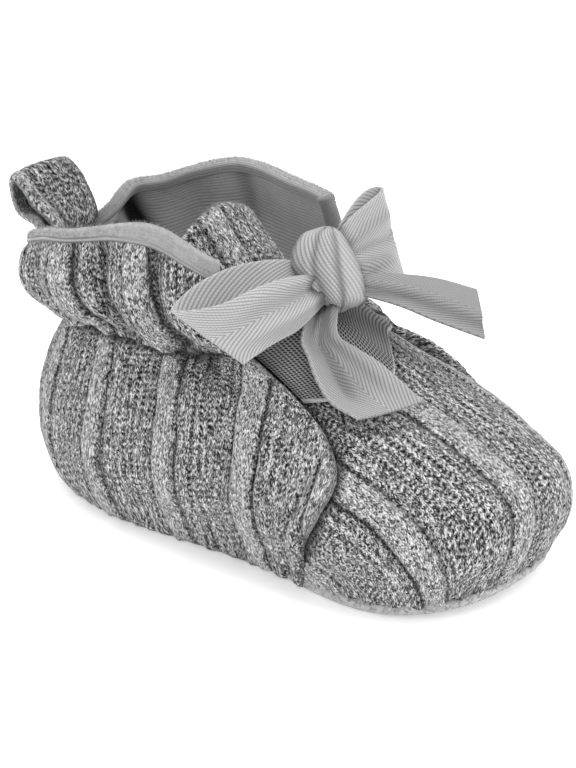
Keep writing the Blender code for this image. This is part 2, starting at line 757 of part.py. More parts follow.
def make_bow():
    """Knot, two loops and two tails of one ribbon, joined into one solid."""
    bow = make_knot()
    strips = (
        ("loop_near", LOOP_NEAR),
        ("loop_far", LOOP_FAR),
        ("tail_far", TAIL_FAR),
        ("tail_near", TAIL_NEAR),
    )
    for name, rows in strips:
        strip = ribbon(name, rows)
        join = bow.modifiers.new(name, "BOOLEAN")
        join.operation = "UNION"
        join.solver = "EXACT"
        join.object = strip
        bpy.context.view_layer.update()
        joined = bpy.data.meshes.new_from_object(bow.evaluated_get(bpy.context.evaluated_depsgraph_get()))
        bow.modifiers.clear()
        bow.data = joined
        bpy.data.objects.remove(strip)
        clean_up(joined)
    return bow


def main():
    clear_scene()
    make_upper()
    make_sole()
    make_insole()
    make_tongue()
    make_elastic()
    make_pull_loop()
    make_bow()


main()
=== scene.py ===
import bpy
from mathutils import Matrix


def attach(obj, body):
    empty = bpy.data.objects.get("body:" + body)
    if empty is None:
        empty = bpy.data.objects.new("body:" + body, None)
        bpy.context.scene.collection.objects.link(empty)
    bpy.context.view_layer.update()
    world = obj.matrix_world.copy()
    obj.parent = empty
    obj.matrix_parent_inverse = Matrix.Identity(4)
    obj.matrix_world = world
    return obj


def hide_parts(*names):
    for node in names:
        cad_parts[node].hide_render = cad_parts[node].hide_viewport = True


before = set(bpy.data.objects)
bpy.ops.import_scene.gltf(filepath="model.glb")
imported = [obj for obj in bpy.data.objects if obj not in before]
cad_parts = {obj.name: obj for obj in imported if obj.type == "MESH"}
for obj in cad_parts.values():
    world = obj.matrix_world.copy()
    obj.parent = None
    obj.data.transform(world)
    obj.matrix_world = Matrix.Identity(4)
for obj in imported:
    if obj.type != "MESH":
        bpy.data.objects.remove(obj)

"""Looks of a knitted baby bootie: rib knit upper, jersey lining and binding, woven elastic and ribbon bow.

Each soft piece is laid out again on the same rings as the solid it stands for, finely enough to carry its knit,
folds and seams, and keeps its own thread coordinates (millimetres across and along the wales) for its material.
"""

import math

import bpy
import numpy as np
from mathutils import Vector

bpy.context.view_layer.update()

# The solids' sizes in metres, their angles, and ratios between them, as in the part's source
SOLE_LENGTH = 0.112
BODY_WIDTH = 0.064
BALL_WIDTH = 0.0545
INSTEP_HEIGHT = 0.050
ANKLE_HEIGHT = 0.043
ANKLE_WIDTH = 0.043
TOE_SPRING = 0.0025
CUFF_HEIGHT = 0.0235
CUFF_WIDTH = 0.058
WALL = 0.0024
SOLE_THICKNESS = 0.0028
SOLE_LIP = 0.0004
INSOLE_THICKNESS = 0.0016
GAP = 0.0004
QUARTER_STEP = 0.0020
QUARTER_STEP_REACH = 0.011
TONGUE_THICKNESS = 0.0022
TONGUE_LENGTH = 0.0315
TONGUE_OVERLAP = 0.0060
TONGUE_ROUNDING = 0.0110
TONGUE_SIDE_CLEARANCE = 0.0028
TONGUE_RISE = math.radians(47)
ELASTIC_THICKNESS = 0.0012
ELASTIC_RISE = 0.0013
LOOP_WIDTH = 0.0145
LOOP_THICKNESS = 0.0018
LOOP_RISE = 0.0154
LOOP_DEPTH = 0.0094
LOOP_LEAN = math.radians(31)
LOOP_SEAT_SIDE = -0.0013
RIBBON_WIDTH = 0.0190
RIBBON_THICKNESS = 0.0008
BOW_TURN = math.radians(37)
BOW_TILT = math.radians(24)
TOE_SPRING_START = 0.78
WAIST_PLACE = 0.51
WAIST_REACH = 0.24
ELASTIC_SPAN = 2.0
LOOP_FLARE = 0.08
TONGUE_GIRTH = 1.23
TONGUE_ROOT_ARCH = 1.26
TONGUE_TIP_ARCH = 1.40
BOW_STAND = 0.553
BOW_FORWARD = -0.18
FRONT_RISE_POWER = 4.0
BACK_RISE_POWER = 2.0
LOOP_BELLY = 0.32
KNOT_SQUARENESS = 2.6
TONGUE_BLUNTNESS = 3.0
STEP_ANGLE = 0.035

MM = 0.001
TURN = 2 * math.pi

# Sizes that only the scene has, lengths in metres
LEFT_EDGE_SETBACK = 0.028 * SOLE_LENGTH
FIBRE_HALF_WIDTH = 0.042 * MM
FIBRE_SINK = 0.05 * MM
TONGUE_SHIFT = 1.6 * MM
TIP_ROUNDING = TONGUE_ROUNDING * 1.35
TIP_BLUNTNESS = TONGUE_BLUNTNESS - 0.8
TIP_THINNING = 3.5 * MM
LOOP_FULLNESS = np.array([1.3, 2.2, 0.0]) * MM
WEAVE = 0.9 * MM

# Sizes of cloth in millimetres
KNIT_PERIOD = 21.0
QUARTER_PHASE = 4.15
VAMP_PHASE = 7.8
TONGUE_PHASE = 6.8
LOOP_PHASE = 12.2
VAMP_CLOSENESS = 0.90
STITCH_WIDTH = 0.82
STITCH_HEIGHT = 0.78
HOLE_COLUMN = 2.05
HOLE_PITCH = 1.35
JERSEY_COURSE = 0.78
JERSEY_WALE = 0.55
TAPE_RIB = 0.82
TAPE_FLOAT = 0.62
ELASTIC_CORD = 0.9
FRILL_PITCH = 4.6
ROLL_WIDTH = 2.6
ROLL_FULLNESS = 1.60
ROLL_COLUMNS = 14

# Where the heel's wales stand, and how far the gather moves them back, in metres
WALE_PLANE = -0.0045
WALE_SHIFT = 0.0050
FULL_RING = 3.0
SEAM_ROWS = (0.0, 0.03, 0.07, 0.12)
QUARTER_COLUMNS = 660
VAMP_UNDERLAP = 0.075

SUN_SPREAD = math.radians(50)
SUNS = (
    ("soft_top", (0.05, -0.15, -1.0), 1.45),
    ("soft_toe_side", (-0.9, -0.25, -0.9), 1.05),
    ("soft_heel_side", (0.9, -0.05, -0.7), 1.25),
    ("soft_front", (-0.35, 0.85, -0.40), 0.65),
)

# The upper's rings from sole to rim: places along it and heights as shares of the sizes above
COLUMNS = ("back", "wide", "front", "half", "rise_back", "rise_side", "rise_front",
           "square_back", "square_front", "edge", "waist")
FOOT_RINGS = (
    (0.002, 0.70, 1.006, 0.800, 0.000, 0.000, 0.000, 2.9, 2.5, 0.685, 0.16),
    (-0.036, 0.70, 1.036, 0.925, 0.110, 0.110, 0.110, 2.9, 2.5, 0.705, 0.14),
    (-0.052, 0.68, 1.050, 0.985, 0.280, 0.275, 0.280, 2.7, 2.4, 0.728, 0.08),
    (-0.056, 0.63, 1.034, 0.965, 0.440, 0.445, 0.450, 2.5, 2.4, 0.755, 0.03),
    (-0.050, 0.55, 0.962, 0.885, 0.580, 0.602, 0.582, 2.4, 2.4, 0.765, 0.00),
    (-0.038, 0.45, 0.862, 0.810, 0.690, 0.750, 0.690, 2.2, 2.5, 0.718, 0.00),
    (-0.024, 0.36, 0.750, 0.738, 0.760, 0.850, 0.780, 2.1, 2.6, 0.640, 0.00),
    (-0.012, 0.29, 0.645, 0.688, 0.810, 0.920, 0.885, 2.1, 2.8, 0.562, 0.00),
    (-0.006, 0.245, 0.555, 0.665, 0.845, 0.960, 0.985, 2.0, 3.0, 0.495, 0.00),
)
CUFF_RINGS = (
    (-0.038, 0.235, 0.550, 0.790, 0.070, 0.095, 0.110, 2.0, 2.9, 0.488, 0.00),
    (-0.077, 0.215, 0.545, 0.935, 0.190, 0.270, 0.270, 2.0, 2.7, 0.478, 0.00),
    (-0.089, 0.200, 0.540, 1.010, 0.350, 0.500, 0.430, 2.0, 2.6, 0.470, 0.00),
    (-0.080, 0.195, 0.535, 0.985, 0.500, 0.760, 0.600, 2.0, 2.6, 0.463, 0.00),
    (-0.062, 0.195, 0.530, 0.925, 0.610, 0.990, 0.720, 2.0, 2.6, 0.455, 0.00),
)
# (angle, half width, depth in cuff heights, share of it at the rim)
CUFF_FOLDS = (
    (62, 14, 0.08, 1.0),
    (88, 12, -0.05, 1.0),
    (108, 11, 0.08, 1.0),
    (126, 9, 0.03, 1.0),
    (139, 8, -0.09, 0.3),
    (154, 9, 0.12, 0.8),
    (212, 16, 0.07, 1.0),
    (232, 9, -0.03, 0.4),
    (244, 8, 0.04, 0.6),
    (260, 8, -0.05, 0.6),
    (277, 7, 0.08, 0.5),
    (288, 7, -0.05, 0.6),
    (299, 6, 0.04, 0.6),
)
# (angle, half width, height in cuff heights)
RIM_LIFTS = (
    (62, 22, 0.04),
    (120, 14, -0.02),
    (145, 11, 0.09),
    (170, 12, -0.075),
    (292, 17, 0.215),
    (326, 15, -0.16),
)
# (angle, half width, depth in millimetres, lowest and highest share of the cuff)
SHARP_FOLDS = (
    (243, 4.0, 0.7, 0.15, 0.85),
    (256, 5.0, -0.6, 0.15, 0.80),
    (268.5, 2.2, 0.9, 0.05, 0.90),
    (278, 3.0, 1.7, 0.02, 0.92),
    (288, 3.2, -1.1, 0.05, 0.80),
    (298, 2.0, 1.3, 0.02, 0.85),
    (306, 3.5, -0.7, 0.10, 0.85),
    (120, 5.0, 0.9, 0.05, 0.80),
    (90, 5.0, 1.0, 0.05, 0.80),
    (104, 5.0, -0.7, 0.10, 0.80),
)
# (angle, half width, depth in millimetres, painted shade, lowest share of the cuff, lean in degrees)
LINING_FOLDS = (
    (149, 6.0, 1.45, 1.15, 0.05, 24),
    (157, 3.4, -1.3, 0.0, 0.15, 24),
    (91, 4.0, 0.8, 0.35, 0.25, 4),
    (112, 7.0, 0.5, 0.12, 0.25, 4),
)
# (place across in millimetres, shift in pitches) of the rib knit's lace columns
LACE_COLUMNS = ((9.4, 0.0), (11.7, 0.5), (14.0, 0.1), (16.4, 0.6))
# (inset, height, share of the ruffle), the first two in thicknesses
SOLE_LEVELS = (
    (60.0, 0.0, 0), (24.0, 0.0, 0), (12.0, 0.0, 0), (6.0, 0.0, 0), (3.0, 0.0, 0), (1.2, 0.0, 0),
    (0.65, 0.02, 0.2), (0.40, 0.08, 0.4), (0.20, 0.20, 0.7), (0.08, 0.36, 1), (0.0, 0.55, 1), (0.02, 0.72, 1),
    (0.10, 0.86, 1), (0.25, 0.97, 1), (0.45, 1.03, 0.8), (0.75, 1.05, 0.4), (1.3, 1.04, 0), (3.6, 1.0, 0),
    (8.0, 1.0, 0),
)
INSOLE_LEVELS = (
    (0.9, 0.3, 0), (0.3, 0.6, 0), (0.0, 0.75, 0), (0.15, 0.92, 0), (0.6, 1.02, 0), (1.6, 1.08, 0),
    (5.0, 1.12, 0), (14.0, 1.14, 0), (60.0, 1.14, 0),
)
# Pairs of points on the tape's two edges, in tape widths to the bow's right, up and out
LOOP_NEAR = (
    ((-0.20, 0.06, 0.02), (-0.20, -0.30, 0.10)),
    ((-0.66, 0.07, 0.14), (-0.52, -0.72, 0.30)),
    ((-1.07, -0.02, 0.43), (-0.72, -0.90, 0.44)),
    ((-1.43, -0.21, 0.62), (-0.86, -0.99, 0.52)),
    ((-1.67, -0.45, 0.76), (-0.92, -1.03, 0.60)),
    ((-1.55, -0.49, 0.90), (-0.87, -1.00, 0.72)),
    ((-1.17, -0.42, 0.96), (-0.74, -0.90, 0.74)),
    ((-0.80, -0.25, 0.84), (-0.54, -0.78, 0.62)),
    ((-0.50, -0.14, 0.54), (-0.34, -0.66, 0.42)),
    ((-0.16, -0.08, 0.14), (-0.06, -0.38, 0.14)),
)
LOOP_FAR = (
    ((0.00, 0.28, -0.04), (0.16, -0.10, -0.04)),
    ((0.22, 0.66, -0.34), (0.44, -0.08, -0.34)),
    ((0.40, 0.86, -0.66), (0.65, -0.10, -0.66)),
    ((0.55, 0.90, -0.84), (0.79, -0.10, -0.80)),
    ((0.55, 0.84, -0.66), (0.80, -0.12, -0.62)),
    ((0.39, 0.69, -0.34), (0.66, -0.12, -0.32)),
    ((0.20, 0.52, -0.08), (0.44, -0.16, -0.06)),
    ((0.02, 0.28, 0.06), (0.16, -0.18, 0.06)),
)
TAIL_FAR = (
    ((0.12, -0.08, -0.10), (0.14, -0.26, 0.02)),
    ((0.50, -0.10, -0.22), (0.50, -0.345, 0.10)),
    ((0.81, -0.11, -0.32), (0.79, -0.435, 0.14)),
    ((1.16, -0.15, -0.36), (1.10, -0.565, 0.12)),
    ((1.57, -0.26, -0.38), (1.64, -0.76, 0.08)),
)
TAIL_NEAR = (
    ((-0.16, -0.30, 0.06), (0.10, -0.30, 0.02)),
    ((-0.30, -0.69, 0.38), (0.07, -0.70, 0.34)),
    ((-0.24, -0.91, 0.52), (0.27, -0.87, 0.46)),
    ((-0.16, -1.16, 0.66), (0.49, -1.01, 0.58)),
    ((0.00, -1.43, 0.80), (0.72, -1.21, 0.72)),
    ((0.27, -1.62, 0.92), (0.95, -1.43, 0.86)),
)
# (height, left, right, front, back) in tape widths
KNOT_SECTIONS = (
    (0.41, -0.18, 0.06, 0.04, -0.08),
    (0.35, -0.31, 0.13, 0.17, -0.21),
    (0.18, -0.41, 0.23, 0.25, -0.27),
    (0.00, -0.43, 0.31, 0.28, -0.28),
    (-0.18, -0.32, 0.36, 0.27, -0.27),
    (-0.33, -0.18, 0.36, 0.23, -0.24),
    (-0.41, -0.06, 0.29, 0.15, -0.16),
    (-0.45, 0.04, 0.18, 0.05, -0.06),
)

ANKLE = float(len(FOOT_RINGS) - 1)
RIM = ANKLE + len(CUFF_RINGS)


def smooth_step(t):
    t = np.clip(t, 0.0, 1.0)
    return t * t * (3 - 2 * t)


def rising(x, start, length):
    return smooth_step((x - start) / length)


def falling(x, start, length):
    return 1 - smooth_step((x - start) / length)


def rounded(x):
    """A quarter circle that rises from 0 at 0 to 1 at 1."""
    return np.sqrt(np.clip(1 - (1 - np.clip(x, 0, 1)) ** 2, 0, 1))


def bell(x, middle, half):
    return np.exp(-(((x - middle) / half) ** 2))


def lattice(ix, iy, seed):
    n = (ix.astype(np.int64) * 374761393 + iy.astype(np.int64) * 668265263 + seed * 974634777) & 0xFFFFFFFF
    n = ((n ^ (n >> 13)) * 1274126177) & 0xFFFFFFFF
    n = n ^ (n >> 16)
    return (n & 0xFFFFFF) / float(0xFFFFFF)


def lumps(x, y, seed):
    """Smooth random lumps from -1 to 1, one to each unit of x and y."""
    x, y = np.broadcast_arrays(np.asarray(x, float), np.asarray(y, float))
    ix, iy = np.floor(x), np.floor(y)
    fx, fy = smooth_step(x - ix), smooth_step(y - iy)
    a = lattice(ix, iy, seed) * (1 - fx) + lattice(ix + 1, iy, seed) * fx
    b = lattice(ix, iy + 1, seed) * (1 - fx) + lattice(ix + 1, iy + 1, seed) * fx
    return (a * (1 - fy) + b * fy) * 2 - 1


def flowing(values, at):
    """A smooth curve through evenly spaced rows of values, read at places counted in their spacing."""
    values = np.asarray(values, float)
    at = np.asarray(at, float)
    last = len(values) - 1
    i = np.clip(np.floor(at).astype(int), 0, last - 1)
    t = at - i
    wide = np.concatenate([[values[0] * 2 - values[1]], values, [values[last] * 2 - values[last - 1]]])
    p0, p1, p2, p3 = wide[i], wide[i + 1], wide[i + 2], wide[i + 3]
    t = t.reshape(t.shape + (1,) * (p1.ndim - t.ndim))
    return (
        p1 * (2 * t**3 - 3 * t**2 + 1)
        + (p2 - p0) / 2 * (t**3 - 2 * t**2 + t)
        + p2 * (-2 * t**3 + 3 * t**2)
        + (p3 - p1) / 2 * (t**3 - t**2)
    )


def spring(x_share):
    return TOE_SPRING * np.maximum(0.0, (x_share - TOE_SPRING_START) / (1 - TOE_SPRING_START)) ** 2


def ring_table():
    rings = np.array(FOOT_RINGS + CUFF_RINGS, float)
    col = {name: i for i, name in enumerate(COLUMNS)}
    foot = len(FOOT_RINGS)
    seam = SOLE_THICKNESS + GAP
    rings[:foot, col["half"]] *= BODY_WIDTH / 2
    rings[foot:, col["half"]] *= CUFF_WIDTH / 2
    rings[0, col["half"]] = BALL_WIDTH / 2
    rings[foot - 1, col["half"]] = ANKLE_WIDTH / 2
    for name, top in (("rise_back", ANKLE_HEIGHT), ("rise_side", ANKLE_HEIGHT), ("rise_front", INSTEP_HEIGHT)):
        c = col[name]
        rings[:foot, c] = seam + rings[:foot, c] * (top - seam)
        rings[foot:, c] = rings[foot - 1, c] + rings[foot:, c] * CUFF_HEIGHT
    for name in ("back", "wide", "front", "edge"):
        rings[:, col[name]] = (rings[:, col[name]] - 0.5) * SOLE_LENGTH
    return rings


RINGS = ring_table()


def ring_at(v):
    made = flowing(RINGS, v)
    return {name: made[..., i] for i, name in enumerate(COLUMNS)}


def around(r, angle):
    c, s = np.cos(angle), np.sin(angle)
    n = r["square_back"] + (r["square_front"] - r["square_back"]) * (1 + c) / 2
    k = (np.abs(c) ** n + np.abs(s) ** n) ** (-1 / n)
    return k * c, k * s


def base(v, angle):
    """Points of the upper's outer surface, without the quarter's step, at rings v and angles."""
    v, angle = np.broadcast_arrays(np.asarray(v, float), np.asarray(angle, float))
    r = ring_at(v)
    along, across = around(r, angle)
    ahead = along >= 0
    x = r["wide"] + np.where(ahead, r["front"] - r["wide"], r["wide"] - r["back"]) * along
    climb = np.where(ahead, r["rise_front"], r["rise_back"]) - r["rise_side"]
    z = r["rise_side"] + climb * np.abs(along) ** np.where(ahead, FRONT_RISE_POWER, BACK_RISE_POWER)
    from_waist = (x / SOLE_LENGTH + 0.5 - WAIST_PLACE) / WAIST_REACH
    y = r["half"] * across * (1 - r["waist"] * np.exp(-(from_waist**2)))
    z = z + spring(x / SOLE_LENGTH + 0.5) * (1 - smooth_step(v / 3))
    up = np.clip((v - ANKLE) / (RIM - ANKLE), 0.0, 1.0)
    degrees = np.degrees(angle) % 360
    deep = np.zeros_like(x)
    for middle, half, depth, at_rim in CUFF_FOLDS:
        deep += depth * (1 - (1 - at_rim) * smooth_step((up - 0.5) / 0.5)) * bell(degrees, middle, half)
    deep *= CUFF_HEIGHT * np.sin(np.minimum(1.0, up * 1.25) * math.pi / 2) * (0.35 + 0.65 * up)
    for middle, half, height in RIM_LIFTS:
        z = z + height * bell(degrees, middle, half) * CUFF_HEIGHT * up**1.5
    return np.stack([x - deep * np.cos(angle), y - deep * np.sin(angle), z], axis=-1)


def unit(a):
    return a / np.maximum(np.linalg.norm(a, axis=-1, keepdims=True), 1e-12)


def outward(v, angle):
    v = np.asarray(v, float)
    up = base(np.minimum(RIM, v + 0.02), angle) - base(np.maximum(0.0, v - 0.02), angle)
    return unit(np.cross(base(v, angle + 0.01) - base(v, angle - 0.01), up))


def moved(points, way, distance):
    return points + way * np.asarray(distance)[..., None]


def surface(v, angle, out=0.0):
    return moved(base(v, angle), outward(v, angle), out)


def halved(low, high, short, rounds=40):
    """Where the test short turns from true to false between low and high."""
    for _ in range(rounds):
        middle = (low + high) / 2
        below = short(middle)
        low, high = np.where(below, middle, low), np.where(below, high, middle)
    return (low + high) / 2


def edge_angle(v, left=False):
    """Angles off the toe where the quarter's leading edge, or the cuff's front edge, crosses the rings at v."""
    v = np.asarray(v, float)
    r = ring_at(v)
    goal = r["edge"].copy()
    if left:
        set_back = LEFT_EDGE_SETBACK * np.sin(math.pi * np.minimum(v, ANKLE) / ANKLE) ** 2
        goal -= np.where(v < ANKLE, set_back, 0)
    reach = np.where(goal >= r["wide"], r["front"] - r["wide"], r["wide"] - r["back"])
    goal = (goal - r["wide"]) / reach
    low, high = np.full(v.shape, math.radians(5)), np.full(v.shape, math.radians(150))
    return halved(low, high, lambda angle: around(r, angle)[0] > goal)


# Mesh making

def put(name, points, faces, finish, slot, attributes=None):
    """One piece that rides on the root and stands for the node of its slot."""
    points = np.asarray(points, float).reshape(-1, 3)
    size = faces.shape[1]
    mesh = bpy.data.meshes.new(name)
    mesh.vertices.add(len(points))
    mesh.vertices.foreach_set("co", points.ravel())
    mesh.loops.add(faces.size)
    mesh.loops.foreach_set("vertex_index", faces.ravel())
    mesh.polygons.add(len(faces))
    mesh.polygons.foreach_set("loop_start", np.arange(len(faces)) * size)
    mesh.polygons.foreach_set("loop_total", np.full(len(faces), size))
    for key, value in (attributes or {}).items():
        kind, part = ("FLOAT_VECTOR", "vector") if value.size == len(points) * 3 else ("FLOAT", "value")
        mesh.attributes.new(key, kind, "POINT").data.foreach_set(part, np.asarray(value, float).ravel())
    mesh.update(calc_edges=True)
    mesh.validate()
    mesh.materials.append(finish)
    mesh.shade_smooth()
    made = bpy.data.objects.new(name, mesh)
    bpy.context.scene.collection.objects.link(made)
    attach(made, "root")
    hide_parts(slot)
    return made


def grid(rows, columns, round_about=False, flip=False, first=0):
    """Quads of a grid of points kept row by row, facing out where columns run anticlockwise and rows up."""
    j, i = np.meshgrid(np.arange(rows - 1), np.arange(columns if round_about else columns - 1), indexing="ij")
    n = (i + 1) % columns
    quads = np.stack([j * columns + i, j * columns + n, (j + 1) * columns + n, (j + 1) * columns + i], axis=-1)
    quads = quads.reshape(-1, 4) + first
    return quads[:, ::-1] if flip else quads


def cloth(name, points, u, w, rib, painted_shade, finish, slot="upper", round_about=False, flip=False, **more):
    """A grid of points as a cloth, with its threads' coordinates u across and w along in millimetres, its share
    of smooth rib or of selvedge, and the painted shade of its hollows."""
    shape = points.shape[:2]
    threads = np.stack([np.broadcast_to(a, shape) for a in (u, w, rib)], -1)
    # the second attribute is painted shade: darkness painted into hollows, creases and shadowed places
    attributes = {"knit": threads, "painted_shade": np.broadcast_to(painted_shade, shape), **more}
    return put(name, points, grid(*shape, round_about, flip), finish, slot, attributes)


def closed_sheet(name, outer, inner, threads, painted_shade, finish, slot, shift=0.0, inside=None):
    """A cloth with two faces, closed round its edges. The inner face's threads are shifted in millimetres, and
    inside is the painted shade of its hollows where that differs."""
    rows, columns = outer.shape[:2]
    count = rows * columns
    loop = np.concatenate([
        np.arange(columns), columns * np.arange(1, rows) + columns - 1,
        count - 1 - np.arange(1, columns), columns * np.arange(rows - 2, 0, -1)])
    following = np.roll(loop, -1)
    strip = np.stack([following, loop, loop + count, following + count], axis=-1)
    faces = np.concatenate([grid(rows, columns), grid(rows, columns, flip=True, first=count), strip])
    threads = np.stack(np.broadcast_arrays(*threads), -1)
    inside = painted_shade if inside is None else np.broadcast_to(inside, painted_shade.shape)
    threads = np.stack([threads, threads + np.array([shift, shift, 0.0])])
    attributes = {"knit": threads, "painted_shade": np.stack([painted_shade, inside])}
    return put(name, np.stack([outer, inner]), faces, finish, slot, attributes)


def normals_of(p):
    """Unit normals of a grid of points, to the side its quads face."""
    return unit(np.cross(np.gradient(p, axis=1), np.gradient(p, axis=0)))


def run_along(p, axis):
    """Distance in millimetres from the first row or column of a grid of points."""
    step = np.linalg.norm(np.diff(p, axis=axis), axis=-1) / MM
    start = np.zeros_like(np.take(step, [0], axis=axis))
    return np.concatenate([start, np.cumsum(step, axis=axis)], axis=axis)


def from_ends(run):
    """Distance from the nearer end of each row."""
    return np.minimum(run, run[:, -1:] - run)


def with_rows(a, before, after=0):
    """A grid with its first and last rows repeated."""
    return np.pad(a, ((before, after),) + ((0, 0),) * (a.ndim - 1), "edge")


def fuzz(name, p, count, length, slot="upper"):
    """Short loose fibres that stand off a knitted surface. p is a grid of its points, length in millimetres."""
    rng = np.random.default_rng(sum(map(ord, name)))
    j = rng.integers(1, p.shape[0] - 1, count)
    i = rng.integers(1, p.shape[1] - 1, count)
    root, out = p[j, i], normals_of(p)[j, i]
    side = unit(rng.normal(size=(count, 3)))
    way = unit(out * rng.uniform(0.35, 1.1, (count, 1)) + side * 0.7)
    long = rng.uniform(0.35, 1.0, (count, 1)) ** 1.5 * length * MM
    across = unit(np.cross(way, rng.normal(size=(count, 3)))) * FIBRE_HALF_WIDTH
    low = root - out * FIBRE_SINK
    points = np.stack([low - across, low + across, root + way * long], axis=1)
    tone = np.repeat(rng.uniform(0.10, 0.55, count), 3)
    put(name, points, np.arange(count * 3).reshape(-1, 3), FIBRE, slot, {"tone": tone})


# The rib knit: smooth ribs between thin grooves, with rough lace-like columns between them

def knit(u, w, seed, strength=1.0):
    """Height in millimetres, share of smooth rib and painted shade of the hollows at u across, w along."""
    p = np.mod(u + 0.30 * lumps(u / 9, w / 7, seed), KNIT_PERIOD)
    rib = rising(p, 0.5, 0.5) * falling(p, 5.8, 0.5)
    crown = np.sin(np.clip((p - 0.3) / 5.8, 0, 1) * math.pi) ** 0.6
    groove = bell(p, 0.15, 0.40) + bell(p, KNIT_PERIOD, 0.40) + 0.8 * bell(p, 6.35, 0.38)
    column = bell(p, 7.6, 0.50) + bell(p, KNIT_PERIOD - 1.2, 0.45)
    beat = 0.5 + 0.5 * np.cos(TURN * w / 0.95 + 3 * lumps(u / 3, w / 6, seed + 5))
    lace = np.zeros_like(p)
    for place, shift in LACE_COLUMNS:
        here = np.clip(0.5 + 0.7 * lumps(u / KNIT_PERIOD * 2 + place, w / 6, seed + 9), 0, 1)
        holes = smooth_step((np.cos(TURN * (w / 1.45 + shift)) + 0.2) / 0.9)
        lace += bell(p, place + 0.25 * lumps(w / 3, place, seed), 0.45) * holes * (0.45 + 0.55 * here)
    rough = 0.55 * lumps(u / 0.95, w / 1.15, seed + 1) + 0.35 * lumps(u / 2.2, w / 1.6, seed + 2)
    rough = (1 - rib) * rough
    height = 0.40 * crown * rib - 0.60 * groove - 0.30 * column * beat - 0.60 * lace + 0.24 * rough
    height += 0.07 * lumps(u / 0.8, w / 0.9, seed + 3)
    # painted shade in the grooves, the hole columns, the lace holes and the rough dips
    dark = 0.95 * groove + 0.60 * column * beat + 1.25 * lace + 0.22 * np.maximum(0, -rough)
    return height * strength, rib, np.clip(dark, 0, 1)


# Materials

def arithmetic(operation, turned=False):
    """A method of Value that makes a math node."""
    def method(self, other=None):
        pair = (self,) if other is None else (other, self) if turned else (self, other)
        return self.nodes.math(operation, *pair)
    return method


class Value:
    """An output of a material's node, which can be added, multiplied and so on."""

    def __init__(self, nodes, socket):
        self.nodes = nodes
        self.socket = socket

    __add__ = arithmetic("ADD")
    __sub__ = arithmetic("SUBTRACT")
    __rsub__ = arithmetic("SUBTRACT", turned=True)
    __mul__ = arithmetic("MULTIPLY")
    __truediv__ = arithmetic("DIVIDE")
    __pow__ = arithmetic("POWER")
    __abs__ = arithmetic("ABSOLUTE")


class Nodes:
    """Short hands for building a material's nodes. A single number stands for a grey where a colour is due."""

    def __init__(self, name):
        self.material = bpy.data.materials.new(name)
        self.material.use_nodes = True
        self.tree = self.material.node_tree
        self.shader = self.tree.nodes["Principled BSDF"]

    def set(self, socket, value):
        if isinstance(value, Value):
            self.tree.links.new(value.socket, socket)
        elif socket.type == "RGBA":
            socket.default_value = (value, value, value, 1.0)
        else:
            socket.default_value = value

    def node(self, kind, inputs, out=0, **settings):
        made = self.tree.nodes.new(kind)
        for key, value in settings.items():
            setattr(made, key, value)
        for key, value in inputs.items():
            self.set(made.inputs[key], value)
        return Value(self, made.outputs[out])

    def math(self, operation, *values):
        return self.node("ShaderNodeMath", dict(enumerate(values)), operation=operation)

    def wave(self, value):
        """A sine's size, from 0 to 1 and back once in each unit."""
        return abs(self.math("SINE", value * math.pi))

    def attribute(self, name, out="Fac"):
        return self.node("ShaderNodeAttribute", {}, out, attribute_name=name)

    def place(self):
        return self.node("ShaderNodeTexCoord", {}, "Object")

    def split(self, vector):
        first = self.node("ShaderNodeSeparateXYZ", {0: vector})
        return [Value(self, socket) for socket in first.socket.node.outputs]

    def threads(self):
        return self.split(self.attribute("knit", "Vector"))

    def join(self, x, y, z=0.0):
        return self.node("ShaderNodeCombineXYZ", {0: x, 1: y, 2: z})

    def noise(self, vector, scale, detail=2.0):
        return self.node("ShaderNodeTexNoise", {"Vector": vector, "Scale": scale, "Detail": detail}, "Fac")

    def cells(self, vector, out="Color", scale=1.0, randomness=1.0):
        inputs = {"Vector": vector, "Scale": scale, "Randomness": randomness}
        return self.node("ShaderNodeTexVoronoi", inputs, out)

    def channel(self, colour, number):
        return self.node("ShaderNodeSeparateColor", {0: colour}, number)

    def ramp(self, value, stops, times=1.0):
        made = self.node("ShaderNodeValToRGB", {0: value})
        elements = made.socket.node.color_ramp.elements
        while len(elements) < len(stops):
            elements.new(0.5)
        for element, (place, shade) in zip(elements, stops):
            element.position = place
            element.color = (shade * times, shade * times, shade * times, 1.0)
        return made

    def mix(self, factor, a, b, blend="MIX"):
        return self.node("ShaderNodeMix", {0: factor, 6: a, 7: b}, 2, data_type="RGBA", blend_type=blend)

    def darken(self, factor, colour, by):
        return self.mix(factor, colour, by, "MULTIPLY")

    def bump(self, height, strength, distance):
        return self.node("ShaderNodeBump", {"Strength": strength, "Distance": distance, "Height": height})

    def finish(self, colour, normal=None, roughness=0.9, specular=0.25, sheen=0.0, sheen_roughness=0.5):
        values = {"Base Color": colour, "Roughness": roughness, "Specular IOR Level": specular,
                  "Sheen Weight": sheen, "Sheen Roughness": sheen_roughness}
        if normal is not None:
            values["Normal"] = normal
        for key, value in values.items():
            self.set(self.shader.inputs[key], value)
        return self.material


